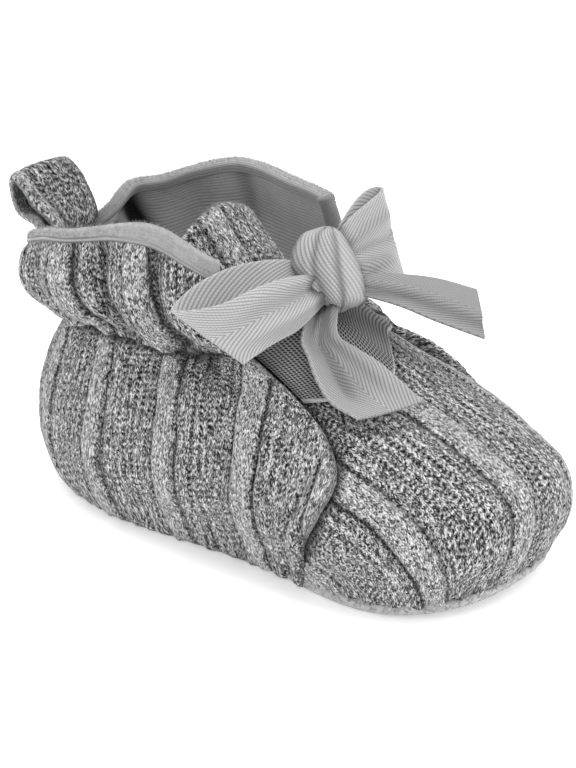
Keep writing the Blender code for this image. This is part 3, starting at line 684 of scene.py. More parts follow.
def knit_material(name, light=1.0):
    """Grey marl rib knit: dark and pale flecks along slanting stitches, with painted shade in the hollows."""
    n = Nodes(name)
    u, w, rib = n.threads()
    # stitches lean to and fro from wale to wale
    wale = u / STITCH_WIDTH
    slanted = w + abs(n.math("FRACT", wale) - 0.5)
    fleck = n.channel(n.cells(n.join(u / 0.41, slanted / 0.52), randomness=0.55), 0)
    fine = n.channel(n.cells(n.join(u / 0.15, slanted / 0.36, 7.0)), 1)
    both = fleck * 0.46 + fine * 0.54
    stops = ((0.22, 0.010), (0.34, 0.05), (0.44, 0.16), (0.54, 0.36), (0.68, 0.66), (0.82, 0.92))
    shade = n.ramp(both, stops, light)
    # the smooth ribs show finer, paler stitches
    calm = n.ramp(both, ((0.20, 0.05), (0.40, 0.27), (0.60, 0.48), (0.85, 0.78)), light)
    shade = n.mix(rib * 0.60, shade, calm)
    patch = n.noise(n.join(u / 3.1, w / 4.3), 1.0, 3.0)
    shade = n.darken(0.45, shade, n.ramp(patch, ((0.3, 0.55), (0.7, 1.0))))
    # painted shade of the hollows multiplied into the colour
    shade = n.darken(n.attribute("painted_shade") * 0.92, shade, 0.08)
    # columns of small dark holes between the smooth ribs
    column = u / HOLE_COLUMN
    line = n.ramp(n.wave(column), ((0.22, 1.0), (0.68, 0.0)))
    beat = w / HOLE_PITCH + n.math("FLOOR", column + 0.5) * 0.37
    beat = n.ramp(n.math("SINE", beat * TURN) * 0.5 + 0.5, ((0.28, 0.15), (0.66, 1.0)))
    here = n.ramp(n.noise(n.join(u / 2.2, w / 9.0), 1.0, 1.0), ((0.36, 0.0), (0.56, 1.0)))
    holes = line * beat * (here * (1.0 - rib))
    shade = n.darken(holes * 0.96, shade, 0.03)
    # relief of single stitches, darker between the wales
    stitch = n.wave(wale)
    shade = n.darken(0.60, shade, n.ramp(stitch, ((0.05, 0.30), (0.45, 1.0))))
    rows = n.math("SINE", slanted * (TURN / STITCH_HEIGHT))
    height = stitch * 0.7 + rows * 0.22 + both * 0.6 + n.noise(n.join(u, w), 3.4, 3.0) * 0.5 - holes * 1.2
    normal = n.bump(height, 0.85, 0.22 * MM)
    return n.finish(shade, normal, roughness=0.92, specular=0.12, sheen=0.25, sheen_roughness=0.45)


def jersey_material(name, shade, depth, sheen):
    """Fine plain jersey: faint courses that run with the rim, soft fuzz, painted shade in the hollows."""
    n = Nodes(name)
    u, w, _ = n.threads()
    wobble = n.noise(n.join(u, w), 0.25) * 0.5
    line = n.math("SINE", (w + wobble) * (TURN / JERSEY_COURSE)) * 0.5 + 0.5
    wale = n.math("SINE", u * (TURN / JERSEY_WALE))
    colour = n.ramp(line, ((0.0, 1 - 0.34 * depth), (0.45, 1.0), (1.0, 1 + 0.10 * depth)), shade)
    grain = n.cells(n.join(u / 0.30, w / 0.26), "Distance")
    colour = n.darken(0.8, colour, n.ramp(grain, ((0.0, 1.0), (0.75, 0.80))))
    patch = n.noise(n.join(u / 5.0, w / 5.0), 1.0, 3.0)
    colour = n.darken(0.5, colour, n.ramp(patch, ((0.3, 0.80), (0.7, 1.0))))
    # painted shade of the hollows multiplied into the colour
    colour = n.darken(n.attribute("painted_shade"), colour, 0.04)
    height = line * (0.6 * depth) + wale * 0.12 + n.noise(n.join(u, w), 5.0, 3.0) * 0.5
    normal = n.bump(height, 0.6, 0.14 * MM)
    return n.finish(colour, normal, roughness=0.95, specular=0.1, sheen=sheen, sheen_roughness=0.4)


def tape_material(name, shade):
    """Herringbone twill tape: slanting ribs that meet on the middle line, each made of small floats."""
    n = Nodes(name)
    along, across, _ = n.threads()
    away = abs(across)
    wobble = n.noise(n.join(along, across), 0.5, 1.0) * 0.12
    ribs = (away * 0.86 + along * 0.50) / TAPE_RIB + wobble
    floats = (along * 0.86 - away * 0.50) / TAPE_FLOAT + n.math("FLOOR", ribs) * 0.5
    relief = n.wave(ribs) ** 0.8 * (n.wave(floats) * 0.34 + 0.66)
    colour = n.ramp(relief, ((0.08, 0.42), (0.34, 0.70), (0.64, 0.88), (0.95, 1.10)), shade)
    thread = n.noise(n.join(along * 2.0, across * 6.0), 1.2)
    colour = n.darken(0.35, colour, n.ramp(thread, ((0.3, 0.72), (0.7, 1.0))))
    selvedge = n.math("GREATER_THAN", away, 8.9)
    colour = n.mix(selvedge * 0.25, colour, shade * 1.2)
    # painted shade of the pleats, the folds and the knot's shadow multiplied into the colour
    colour = n.darken(n.attribute("painted_shade"), colour, 0.15)
    normal = n.bump(relief, 0.55, 0.16 * MM)
    return n.finish(colour, normal, roughness=0.52, specular=0.45, sheen=0.15, sheen_roughness=0.35)


def elastic_material(name):
    """Dark woven elastic: rows of small holes on the near side, pale cords on the far side, a pale selvedge."""
    n = Nodes(name)
    along, across, selvedge = n.threads()
    far = n.attribute("far")
    x = along / 0.80
    y = across / 0.74 + n.math("FLOOR", x) * 0.5
    dx, dy = n.math("FRACT", x) - 0.5, n.math("FRACT", y) - 0.5
    gap = n.math("SQRT", dx * dx + dy * dy)
    holes = n.ramp(gap, ((0.26, 0.006), (0.36, 0.06), (0.46, 0.22), (0.62, 0.34)))
    cord = n.wave(across / ELASTIC_CORD)
    ribs = n.ramp(cord, ((0.0, 0.02), (0.4, 0.11), (1.0, 0.26)))
    colour = n.mix(selvedge, n.mix(far, holes, ribs), 0.46)
    # painted shade towards the band's ends multiplied into the colour
    colour = n.darken(n.attribute("painted_shade"), colour, 0.2)
    speck = n.noise(n.join(along, across), 6.0)
    colour = n.darken(0.4, colour, n.ramp(speck, ((0.3, 0.7), (0.7, 1.0))))
    height = n.mix(far, gap, cord * 0.7)
    return n.finish(colour, n.bump(height, 0.8, 0.3 * MM), roughness=0.75, specular=0.25, sheen=0.1)


def plain_material(name, shade):
    """Plain close cloth under the foot, with a fine even weave."""
    n = Nodes(name)
    place = n.place()
    x, y, _ = n.split(place)
    warp, weft = (n.math("SINE", side * (TURN / WEAVE)) for side in (x, y))
    fleck = n.channel(n.cells(place, scale=1700.0), 0)
    colour = n.ramp(fleck, ((0.0, 0.62), (0.5, 1.0), (1.0, 1.3)), shade)
    colour = n.darken(0.4, colour, n.ramp(n.noise(place, 90.0, 4.0), ((0.3, 0.78), (0.7, 1.0))))
    height = warp * weft * 0.4 + n.noise(place, 2600.0)
    return n.finish(colour, n.bump(height, 0.5, 0.12 * MM), roughness=0.93, specular=0.12, sheen=0.2)


def fibre_material(name):
    """Loose fibres, each of its own grey."""
    n = Nodes(name)
    own = n.ramp(n.attribute("tone"), ((0.0, 0.02), (1.0, 0.85)))
    colour = n.mix(0.3, own, n.ramp(n.noise(n.place(), 900.0), ((0.3, 0.1), (0.7, 0.6))))
    return n.finish(colour, roughness=0.8, specular=0.2, sheen=0.2)


FIBRE = fibre_material("loose_fibres")
KNIT = knit_material("marl_rib_knit")
# copies of the same knit with their colour scaled: painted light on the tongue, painted shade on the pull loop
TONGUE_KNIT = knit_material("marl_rib_knit_tongue", light=1.04)
LOOP_KNIT = knit_material("marl_rib_knit_loop", light=0.86)
LINING = jersey_material("jersey_lining", 0.50, depth=0.75, sheen=0.25)
BINDING = jersey_material("jersey_binding", 0.42, depth=0.14, sheen=0.45)
TAPE = tape_material("twill_tape", 0.43)
ELASTIC = elastic_material("woven_elastic")
SOLE_CLOTH = plain_material("sole_cloth", 0.40)
INSOLE_CLOTH = plain_material("insole_cloth", 0.30)


# Upper

def quarter_grid(rows, columns):
    """Rings and angles of the quarter, from its left leading edge round the heel to the right one."""
    left, right = edge_angle(rows, left=True), edge_angle(rows)
    angle = left[:, None] + (TURN - left - right)[:, None] * np.linspace(0, 1, columns)
    return np.repeat(rows[:, None], columns, axis=1), angle


def roll(v, d):
    """How far the quarter stands proud of the vamp at d mm from its leading edge, where it curls down."""
    share = np.where(v <= ANKLE, 0.12 + 0.88 * rising(v, 0.2, 2.4), falling(v, ANKLE, RIM - ANKLE))
    puff = falling(d, 0, QUARTER_STEP_REACH / MM)
    return QUARTER_STEP / MM * share * puff * ROLL_FULLNESS * (0.02 + 0.98 * rounded(d / ROLL_WIDTH))


def taken_up(points, u):
    """u grown by the cloth that the rolled edges take up, over the first and last columns."""
    n = ROLL_COLUMNS
    step = np.linalg.norm(np.diff(points, axis=1), axis=-1) / MM
    u = u.copy()
    u[:, :n] = u[:, n:n + 1] + np.sign(u[:, :1]) * np.cumsum(step[:, :n][:, ::-1], axis=1)[:, ::-1]
    u[:, -n:] = u[:, -n - 1:-n] + np.sign(u[:, -1:]) * np.cumsum(step[:, -n:], axis=1)
    return u


WALE_ANGLES = np.linspace(math.pi, 0, 500)
WALE_RING = base(FULL_RING, WALE_ANGLES)
WALE_RUN = run_along(WALE_RING[:, None], 0)[:, 0]


def quarter_wales(v, p):
    """Millimetres across the wales from the heel's middle, less than 0 on the wearer's right. Wales stand
    upright, follow the heel's bulge, and come closer and further back where the gather draws them in."""
    drawn_in = rising(v, FULL_RING, ANKLE - FULL_RING)
    tip, full_tip = ring_at(v)["back"], float(ring_at(FULL_RING)["back"])
    plane = WALE_PLANE + WALE_SHIFT * drawn_in
    share = (p[..., 0] - tip) / (WALE_PLANE - tip)
    ahead = plane + (p[..., 0] - WALE_PLANE) * (1 - 0.12 * drawn_in)
    label = np.where(share < 1, full_tip + share * (plane - full_tip), ahead)
    return np.sign(p[..., 1] + 1e-9) * np.interp(label, np.maximum.accumulate(WALE_RING[:, 0]), WALE_RUN)


def up_the_wales(p):
    """Millimetres up from the first row, square to the rows."""
    step = np.diff(p, axis=0)
    along = unit(np.gradient(p, axis=1))[:-1]
    step = step - along * np.sum(step * along, -1, keepdims=True)
    step = np.linalg.norm(step, axis=-1) / MM
    return np.concatenate([np.zeros_like(step[:1]), np.cumsum(step, axis=0)])


def turned_under(points, v, angle, levels):
    """The grid with rows before its first that turn in under the foot, at (distance in, height) in mm."""
    flat = unit(outward(v[0], angle[0]) * np.array([1.0, 1.0, 0.0]))
    under = []
    for inward, z in levels:
        row = points[0] - flat * inward * MM
        row[:, 2] = z * MM + spring(row[:, 0] / SOLE_LENGTH + 0.5)
        under.append(row)
    return np.concatenate([np.stack(under), points])


def make_quarter():
    v, angle = quarter_grid(np.concatenate([SEAM_ROWS, np.linspace(0.18, ANKLE, 130)]), QUARTER_COLUMNS)
    plain = surface(v, angle)
    d = from_ends(run_along(plain, 1))
    u, w = quarter_wales(v, plain), up_the_wales(plain)
    height, rib, dark = knit(u + QUARTER_PHASE, w, 11)
    near_edge, near_seam, near_gather = falling(d, 0, 2.2), falling(w, 0, 3.0), rising(v, 5.4, 2.6)
    pucker = lumps(u / 3.6 + 0.35 * lumps(u / 7, w / 9, 3), w / 30, 21) + 0.7 * lumps(u / 1.9, w / 22, 22)
    height = height * (1 - 0.6 * near_edge) * (1 - 0.5 * near_seam)
    height += 0.95 * near_gather * pucker
    height += 0.25 * np.sin(u * TURN / FRILL_PITCH + 2 * lumps(u / 8, 0, 31)) * near_seam
    height += 0.40 * lumps(u / 11, w / 13, 41) * (1 - near_seam) + 0.18 * lumps(u / 4.5, w / 5, 42)
    # a soft trough beside the rolled leading edge, deepest low down
    low_down = falling(v, 2.2, 3.0)
    trough = 4.3 + 1.5 * smooth_step(v / 4)
    height -= 0.9 * low_down * bell(d, trough, 1.0)
    height += roll(v, d) - 0.9 * rising(v, 7.4, 0.6)
    # painted shade: less near the leading edge, more in the pucker dips, under the gather and in the trough,
    # and a painted shadow along the rolled edge
    dark = dark * (1 - 0.5 * near_edge) + 0.65 * near_gather * np.maximum(0, -pucker)
    dark += 0.85 * rising(v, 7.55, 0.4) + 0.45 * low_down * bell(d, trough, 0.8) + 0.6 * bell(d, 0.0, 0.7)
    points = surface(v, angle, height * MM)
    u = taken_up(points, u)
    points[..., 2] -= falling(w, 0, 8.0) ** 1.3 * (SOLE_THICKNESS + GAP - 0.75 * MM)
    points = turned_under(points, v, angle, ((2.6, 0.30), (1.5, 0.25), (0.7, 0.35), (0.2, 0.52)))
    fuzz("quarter_fuzz", points[8:], 6000, 0.9)
    u, w, rib, dark = (with_rows(a, 4) for a in (u, w, rib, np.clip(dark, 0, 1)))
    w[:4] -= np.array([2.9, 1.8, 0.9, 0.35])[:, None]
    cloth("quarter_knit", points, u, w, rib, dark, KNIT)


def make_cuff():
    v, angle = quarter_grid(np.linspace(ANKLE, RIM, 90), QUARTER_COLUMNS)
    plain = surface(v, angle)
    u = np.repeat(quarter_wales(v[0], base(ANKLE, angle[0]))[None], len(v), axis=0)
    w = up_the_wales(plain) + 60.0
    height, rib, dark = knit(u + QUARTER_PHASE, w, 12)
    up = (v - ANKLE) / (RIM - ANKLE)
    near_gather = falling(up, 0, 0.42)
    pucker = lumps(u / 4.2, up * 0.8, 23) + 0.6 * lumps(u / 2.1, up * 1.5, 24)
    height += 1.0 * near_gather * pucker + 0.30 * lumps(u / 9, w / 10, 43) + 0.18 * lumps(u / 4, w / 5, 44)
    height += 0.55 * falling(up, 0, 0.16) * lumps(u / 5.5, 0, 25)
    for middle, half, deep, low, high in SHARP_FOLDS:
        line = bell(np.degrees(angle) % 360, middle, half) * rising(up, low, 0.15) * falling(up, high, 0.2)
        height -= deep * line
        # painted shade in the sharp folds
        dark += max(0.0, deep) * 0.45 * line
    height += roll(v, from_ends(run_along(plain, 1))) - 0.9 * falling(up, 0, 0.08)
    # flat where the band covers it
    bare = falling(up, 0.80, 0.12)
    height = height * bare - 0.10 * (1 - bare)
    # painted shade in the pucker dips and in the crease along the gather
    dark += 0.65 * near_gather * np.maximum(0, -pucker) + 0.85 * falling(up, 0, 0.09)
    points = surface(v, angle, height * MM)
    fuzz("cuff_fuzz", points[:70], 4000, 0.9)
    cloth("cuff_knit", points, u, w, rib, np.clip(dark, 0, 1), KNIT)


def centre_line():
    """The upper's middle line from the throat over the toe: x, z and its length in millimetres."""
    p = base(np.linspace(0, ANKLE, 200), 0.0)
    x, _, z = p[np.argmax(p[:, 0]):][::-1].T
    return x, z, np.concatenate([[0], np.cumsum(np.hypot(np.diff(x), np.diff(z)))]) / MM


def sideways(facing):
    """How much of a surface faces to the side, from 0 to 1."""
    return (np.abs(facing[..., 1]) / (np.hypot(facing[..., 0], facing[..., 1]) + 1e-6)) ** 1.5


def lengthwise(p, facing):
    """Millimetres across and along the wales of the vamp, which run from the throat over the toe."""
    x, z, length = centre_line()
    drop = np.maximum(0.0, np.interp(p[..., 0], x, z) - p[..., 2]) / MM
    side = p[..., 1] / MM
    share = sideways(facing)
    u = np.sign(side) * np.sqrt(side**2 + (drop * share) ** 2) * (1 + 0.10 * np.clip(drop / 40, 0, 1) ** 2)
    return u * VAMP_CLOSENESS, np.interp(p[..., 0], x, length) + drop * (1 - share)


def make_vamp():
    rows = np.concatenate([SEAM_ROWS, np.linspace(0.18, ANKLE, 216)])
    first = -edge_angle(rows) - VAMP_UNDERLAP
    last = edge_angle(rows, left=True) + VAMP_UNDERLAP
    angle = first[:, None] + (last - first)[:, None] * np.linspace(0, 1, 270)
    v = np.repeat(rows[:, None], angle.shape[1], axis=1)
    plain = surface(v, angle)
    facing = outward(v, angle)
    u, w = lengthwise(plain, facing)
    # below the fullest ring the cloth goes straight down to the seam
    row = int(np.argmin(np.abs(rows - 2.6)))
    share = sideways(facing[row])
    down = up_the_wales(plain)
    down = (down[row] - down)[:row]
    u[:row] = u[row] + np.sign(u[row]) * down * share * VAMP_CLOSENESS
    w[:row] = w[row] + down * (1 - share * 0.999)
    height, rib, dark = knit(u + VAMP_PHASE, w, 13, 0.8)
    low, arc = run_along(plain, 0), run_along(plain, 1)
    near_seam, d = falling(low, 0, 3.2), from_ends(arc)
    height = height * (1 - 0.5 * near_seam)
    height += 0.40 * np.sin(arc * TURN / 4.4 + 2 * lumps(arc / 9, 0, 32)) * near_seam
    height += 0.25 * lumps(u / 9, w / 12, 45) + 0.14 * lumps(u / 4, w / 5, 46)
    height -= 1.5 * falling(d, 1.0, 6.0)
    # painted shadow of the quarter's rolled edge along the vamp's sides
    dark = np.clip(dark + 1.25 * falling(d, 1.8, 4.6), 0, 1)
    points = surface(v, angle, height * MM)
    points[..., 2] -= falling(low, 0, 5.0) ** 1.3 * (SOLE_THICKNESS + GAP - 1.9 * MM)
    points = turned_under(points, v, angle, ((2.4, 1.5), (1.2, 1.5), (0.5, 1.6)))
    fuzz("vamp_fuzz", points[6:], 6000, 0.8)
    u, w, rib, dark = (with_rows(a, 3) for a in (u, w, rib, dark))
    # painted shade on the rows turned in under the foot
    dark[:3] = np.maximum(dark[:3], 0.5)
    cloth("vamp_knit", points, u, w, rib, dark, KNIT)


def make_lining():
    """Inside of the foot and of the cuff, down to the insole."""
    inset = -WALL * 0.9
    angle = np.linspace(0, TURN, 300, endpoint=False)
    points = surface(*np.meshgrid(np.linspace(0.05, ANKLE, 60), angle, indexing="ij"), inset)
    u, w = run_along(points, 1), run_along(points, 0)
    # painted shade, darker towards the insole
    cloth("foot_lining", points, u, w, 0, 0.25 * falling(w, 0, 20), LINING, round_about=True, flip=True)
    v, angle = quarter_grid(np.linspace(ANKLE - 0.2, RIM, 70), 420)
    points = surface(v, angle, inset)
    u, w = run_along(points, 1), run_along(points, 0)
    up = np.clip((v - ANKLE) / (RIM - ANKLE), 0, 1)
    inward = -0.25 * lumps(u / 9, up * 1.4, 51) - 0.06 * lumps(u / 3, w / 6, 52)
    # painted shade, darker deeper down inside the cuff and in the folds
    shade = 0.50 * falling(up, 0, 0.85)
    for middle, half, deep, painted_dimming, low, lean in LINING_FOLDS:
        line = bell(np.degrees(angle) % 360, middle - lean * (1 - up), half)
        line = line * rising(up, low, 0.25) * falling(up, 0.93, 0.07)
        inward += deep * line
        shade += painted_dimming * line
    points = surface(v, angle, inset + inward * MM)
    from_rim = run_along(points[::-1], 0)[::-1]
    cloth("cuff_lining", points, u, from_rim, 0, np.clip(shade, 0, 1), LINING, flip=True)


def make_rim_band():
    """Jersey band folded over the rim, with its seam: rows up the outside, over the top and down the inside."""
    angle = quarter_grid(np.array([RIM]), QUARTER_COLUMNS)[1][0]
    rim_out, out, centre = surface(RIM, angle), outward(RIM, angle), surface(RIM, angle, -WALL / 2)
    rise = rim_out - surface(RIM - 0.5, angle)
    up = unit(rise)
    per_mm = 0.5 / (np.linalg.norm(rise, axis=-1) / MM)
    run = run_along(rim_out[None], 1)[0]
    width = 2.3 + 1.5 * rising(np.degrees(angle) % 360, 262, 40) + 0.25 * lumps(run / 12, 0, 62)
    rows, w = [], []
    for t in np.linspace(0, 1, 14):
        thick = 0.50 * np.sin(np.clip(t / 0.30, 0, 1) * math.pi / 2) + 0.08 - 0.22 * bell(t, 0.42, 0.08)
        thick = thick + 0.07 * lumps(run / 1.6, t * 2, 61)
        rows.append(surface(RIM - per_mm * width * (1 - t), angle, thick * MM))
        w.append(-width * (1 - t))
    radius = WALL / 2 + 0.55 * MM
    for t in np.linspace(0, math.pi, 13)[1:-1]:
        inside = 0.62 * MM * rising(t, 0.3 * math.pi, 1.4)
        rows.append(centre + out * (math.cos(t) * (radius - inside)) + up * (math.sin(t) * radius * 0.5))
        w.append(np.full(len(run), t * 1.6))
    for t in np.linspace(0, 1, 6):
        rows.append(surface(RIM - per_mm * 1.6 * t, angle, -WALL + (0.07 + 0.05 * t) * MM))
        w.append(np.full(len(run), 5.0 + 1.6 * t))
    points, w = np.stack(rows), np.stack(w)
    # darker along the seam's two lines, with painted shade that grows down the inside, sooner on the far side
    seam = bell(w, 0.95 - width, 0.20) * 0.40 + bell(w, 0.1 - width, 0.25) * 0.8
    far = smooth_step(points[..., 1] / 0.008)
    dark = np.clip(seam * (w < 0) + 0.18 * rising(w, 1.0 - 0.8 * far, 1.6 - 0.8 * far), 0, 1)
    for name, finish, part in (("rim_binding", BINDING, slice(0, 20)), ("rim_lining", LINING, slice(19, None))):
        cloth(name, points[part], run, w[part], 0, dark[part], finish)
    fuzz("rim_fuzz", points[4:22], 9000, 1.1)


def make_front_bindings():
    """The same jersey down the cuff's two front edges, closed over at the top in a small dome."""
    v = np.linspace(ANKLE + 0.1, RIM, 80)
    dome = np.linspace(0, math.pi / 2, 8)[1:]
    size = np.concatenate([np.ones(len(v)), np.maximum(0.02, np.cos(dome))])
    turn = np.linspace(-math.pi / 2 - 0.5, math.pi / 2 + 0.5, 19)
    # the far, left binding gets painted shade
    for name, left, dark in (("front_binding_left", True, 0.40), ("front_binding_right", False, 0.0)):
        edge = edge_angle(v, left) if left else TURN - edge_angle(v)
        centre, out = surface(v, edge, -WALL / 2), outward(v, edge)
        along = unit(np.gradient(centre, axis=0))
        ahead = unit(np.cross(out, along)) * (1 if left else -1)
        half = WALL / 2 + 0.52 * MM + QUARTER_STEP * 0.4 * falling(v, ANKLE, RIM - ANKLE)
        centre = np.concatenate([centre, moved(centre[-1], along[-1], np.sin(dome) * half[-1] * 0.5)])
        out, ahead, half = (with_rows(a, 0, len(dome)) for a in (out, ahead, half))
        points = moved(centre[:, None], out[:, None], np.sin(turn) * (half * size)[:, None])
        points = moved(points, ahead[:, None], (np.cos(turn) * 1.7 - 0.7) * MM * size[:, None])
        cloth(name, points, run_along(points, 0), run_along(points, 1), 0, dark, BINDING, flip=not left)


# Sole and insole

def outline(out, count):
    """The foot's lowest ring from above, moved out."""
    angle = np.linspace(0, TURN, count, endpoint=False)
    return base(0.0, angle)[:, :2] + unit(outward(0.0, angle)[:, :2]) * out


def slab(name, edge, levels, low, thickness, finish, slot, ruffle=0.0, set_in=0.0):
    """A flat cushion of rings inside its edge, at (inset, height, share of the ruffle), the first two in its
    thickness."""
    inward = edge.mean(axis=0) - edge
    reach = np.linalg.norm(inward, axis=-1)
    inward = inward / reach[:, None]
    rows = []
    for inset, height, frill in levels:
        ring = moved(edge, inward, np.minimum(inset * thickness + set_in, reach * 0.999))
        push = np.full_like(reach, ruffle * frill)
        z = low + height * thickness + spring(ring[:, 0] / SOLE_LENGTH + 0.5) + 0.5 * push
        rows.append(np.column_stack([moved(ring, inward, -push), z]))
    points = np.stack(rows)
    return put(name, points, grid(*points.shape[:2], round_about=True), finish, slot)


def make_soles():
    edge = outline(SOLE_LIP + 0.1 * MM, 720)
    run = run_along(np.concatenate([edge, edge[:1]])[None], 1)[0, :-1]
    ruffle = 0.22 * MM * np.sin(run * TURN / FRILL_PITCH + 1.5 * lumps(run / 9, 0, 71))
    ruffle += 0.14 * MM * lumps(run / 2.3, 0, 72)
    hidden = 1.3 * MM * falling(edge[:, 0], 0.006, 0.020)
    slab("sole_edge", edge, SOLE_LEVELS, 0.0, SOLE_THICKNESS * 0.86, SOLE_CLOTH, "sole", ruffle, hidden)
    pad = slab("insole_pad", outline(-(WALL + GAP * 0.5), 360), INSOLE_LEVELS, SOLE_THICKNESS + GAP,
               INSOLE_THICKNESS, INSOLE_CLOTH, "insole")


# Tongue

def make_tongue():
    clear = WALL + GAP
    room = ANKLE_WIDTH / 2 - WALL - TONGUE_SIDE_CLEARANCE
    under = surface(ANKLE, 0.0, -clear)
    back = unit(under - surface(ANKLE - 1.0, 0.0, -clear))
    rise = np.array([-math.cos(TONGUE_RISE), 0.0, math.sin(TONGUE_RISE)])
    angle_per_girth = STEP_ANGLE / np.linalg.norm(surface(ANKLE, STEP_ANGLE, -clear) - under)
    share = 1 - (1 - np.linspace(0, 1, 110)) ** 1.7
    past = (TONGUE_OVERLAP + TONGUE_LENGTH) * share - TONGUE_OVERLAP
    side = np.linspace(-1, 1, 110)
    to_left = np.array([0.0, 1.0, 0.0])
    outer, inner, across = [], [], []
    for here in past:
        free = float(rising(here, 0, 0.45 * TONGUE_LENGTH))
        part = max(0.0, here / TONGUE_LENGTH)
        along = unit(back * (1 - free) + rise * free)
        normal = unit(np.cross(to_left, along))
        normal = normal if normal[2] > 0 else -normal
        bent = back * (1 - 0.75 * part) + rise * 0.75 * part
        middle = under + back * min(here, 0.0) + bent * max(here, 0.0)
        middle = middle - to_left * TONGUE_SHIFT * float(smooth_step(part / 0.6))
        radius = room * (TONGUE_ROOT_ARCH + (TONGUE_TIP_ARCH - TONGUE_ROOT_ARCH) * float(smooth_step(part)))
        to_tip = TONGUE_LENGTH - here
        narrow = min(1.0, to_tip / TIP_ROUNDING)
        girth = room * TONGUE_GIRTH * max(0.06, max(0.0, 1 - (1 - narrow) ** TIP_BLUNTNESS) ** 0.5) * side
        turn = girth / radius
        arch = moved(moved(middle, to_left, radius * np.sin(turn)), normal, radius * (np.cos(turn) - 1))
        facing = normal * np.cos(turn)[:, None] + to_left * np.sin(turn)[:, None]
        sewn = surface(ANKLE, girth * angle_per_girth, -clear) + back * here
        facing = unit(outward(ANKLE, girth * angle_per_girth) * (1 - free) + facing * free)
        # a stuffed look: full in the middle, thin at the sides and at the tip
        tip = float(rounded(to_tip / TIP_THINNING))
        thick = TONGUE_THICKNESS * (0.18 + 0.82 * (1 - np.abs(side) ** 5) ** 0.5) * max(0.12, tip)
        puff = 1.1 * MM * (1 - side**2) * free * tip
        centre = sewn * (1 - free) + arch * free - facing * (TONGUE_THICKNESS / 2)
        outer.append(moved(centre, facing, thick / 2 + puff))
        inner.append(moved(centre, facing, -thick / 2))
        across.append(girth / MM)
    outer, inner, u = np.stack(outer), np.stack(inner), np.stack(across)
    w = np.repeat((past / MM)[:, None], len(side), axis=1)
    height, rib, dark = knit(u * 0.95 + TONGUE_PHASE, w, 14, 0.75)
    rim = np.minimum(1, (1 - np.abs(side)) * 9) * np.clip((TONGUE_LENGTH - past) / MM / 2.0, 0, 1)[:, None]
    height = height * (0.3 + 0.7 * rim) + 0.25 * lumps(u / 5, w / 6, 55)
    outer = moved(outer, normals_of(outer), height * MM)
    # the inner face keeps a third of the outer face's painted shade
    made = closed_sheet("tongue_knit", outer, inner, (u, w, rib), dark, TONGUE_KNIT, "tongue", 2, dark * 0.3)
    fuzz("tongue_fuzz", outer, 3500, 0.9, "tongue")


# Instep elastic

def make_elastic():
    share = np.linspace(-1, 1, 190)
    back = 0.42 * rising(share, -0.35, 0.8)
    v = ANKLE - np.linspace(ELASTIC_SPAN, 0, 70)[:, None] * (1 - back)
    right, left = edge_angle(v) - STEP_ANGLE * 0.4, edge_angle(v, left=True) - STEP_ANGLE * 0.4
    angle = (right * (share - 1) + left * (share + 1)) / 2
    stand = GAP + ELASTIC_RISE * (1 - share**2) ** 2
    plain = surface(v, angle, stand)
    across, along = run_along(plain, 0), run_along(plain, 1)
    edge = np.minimum(across, across[-1:] - across)
    far = rising(along, along[:, -1:] * 0.46, 3.0)
    ridges = 0.22 * np.abs(np.sin(across * math.pi / ELASTIC_CORD)) + 0.12 * lumps(across / 2.2, along / 20, 81)
    selvedge = falling(edge, 0.45, 0.35)
    height = 0.88 * rounded(edge) + ridges * far * (1 - selvedge) + 0.22 * selvedge
    # painted shade towards both ends of the band
    dark = 0.5 * falling(from_ends(along), 0, 2.5)
    points = surface(v, angle, stand + height * MM)
    cloth("elastic_band", points, along, across, selvedge, dark, ELASTIC, "instep_elastic", far=far)


# Pull loop

def rim_seat(side):
    """Middle of the rim's wall at the back, at distances to the side, with the wall's up and out."""
    quarter_turn = np.full(side.shape, math.pi / 2)
    angle = halved(quarter_turn, quarter_turn * 2, lambda a: surface(RIM, a, -WALL / 2)[:, 1] > np.abs(side))
    angle = np.where(side >= 0, angle, TURN - angle)
    seat = surface(RIM, angle, -WALL / 2)
    return seat, unit(seat - surface(RIM - 0.2, angle, -WALL / 2)), outward(RIM, angle)


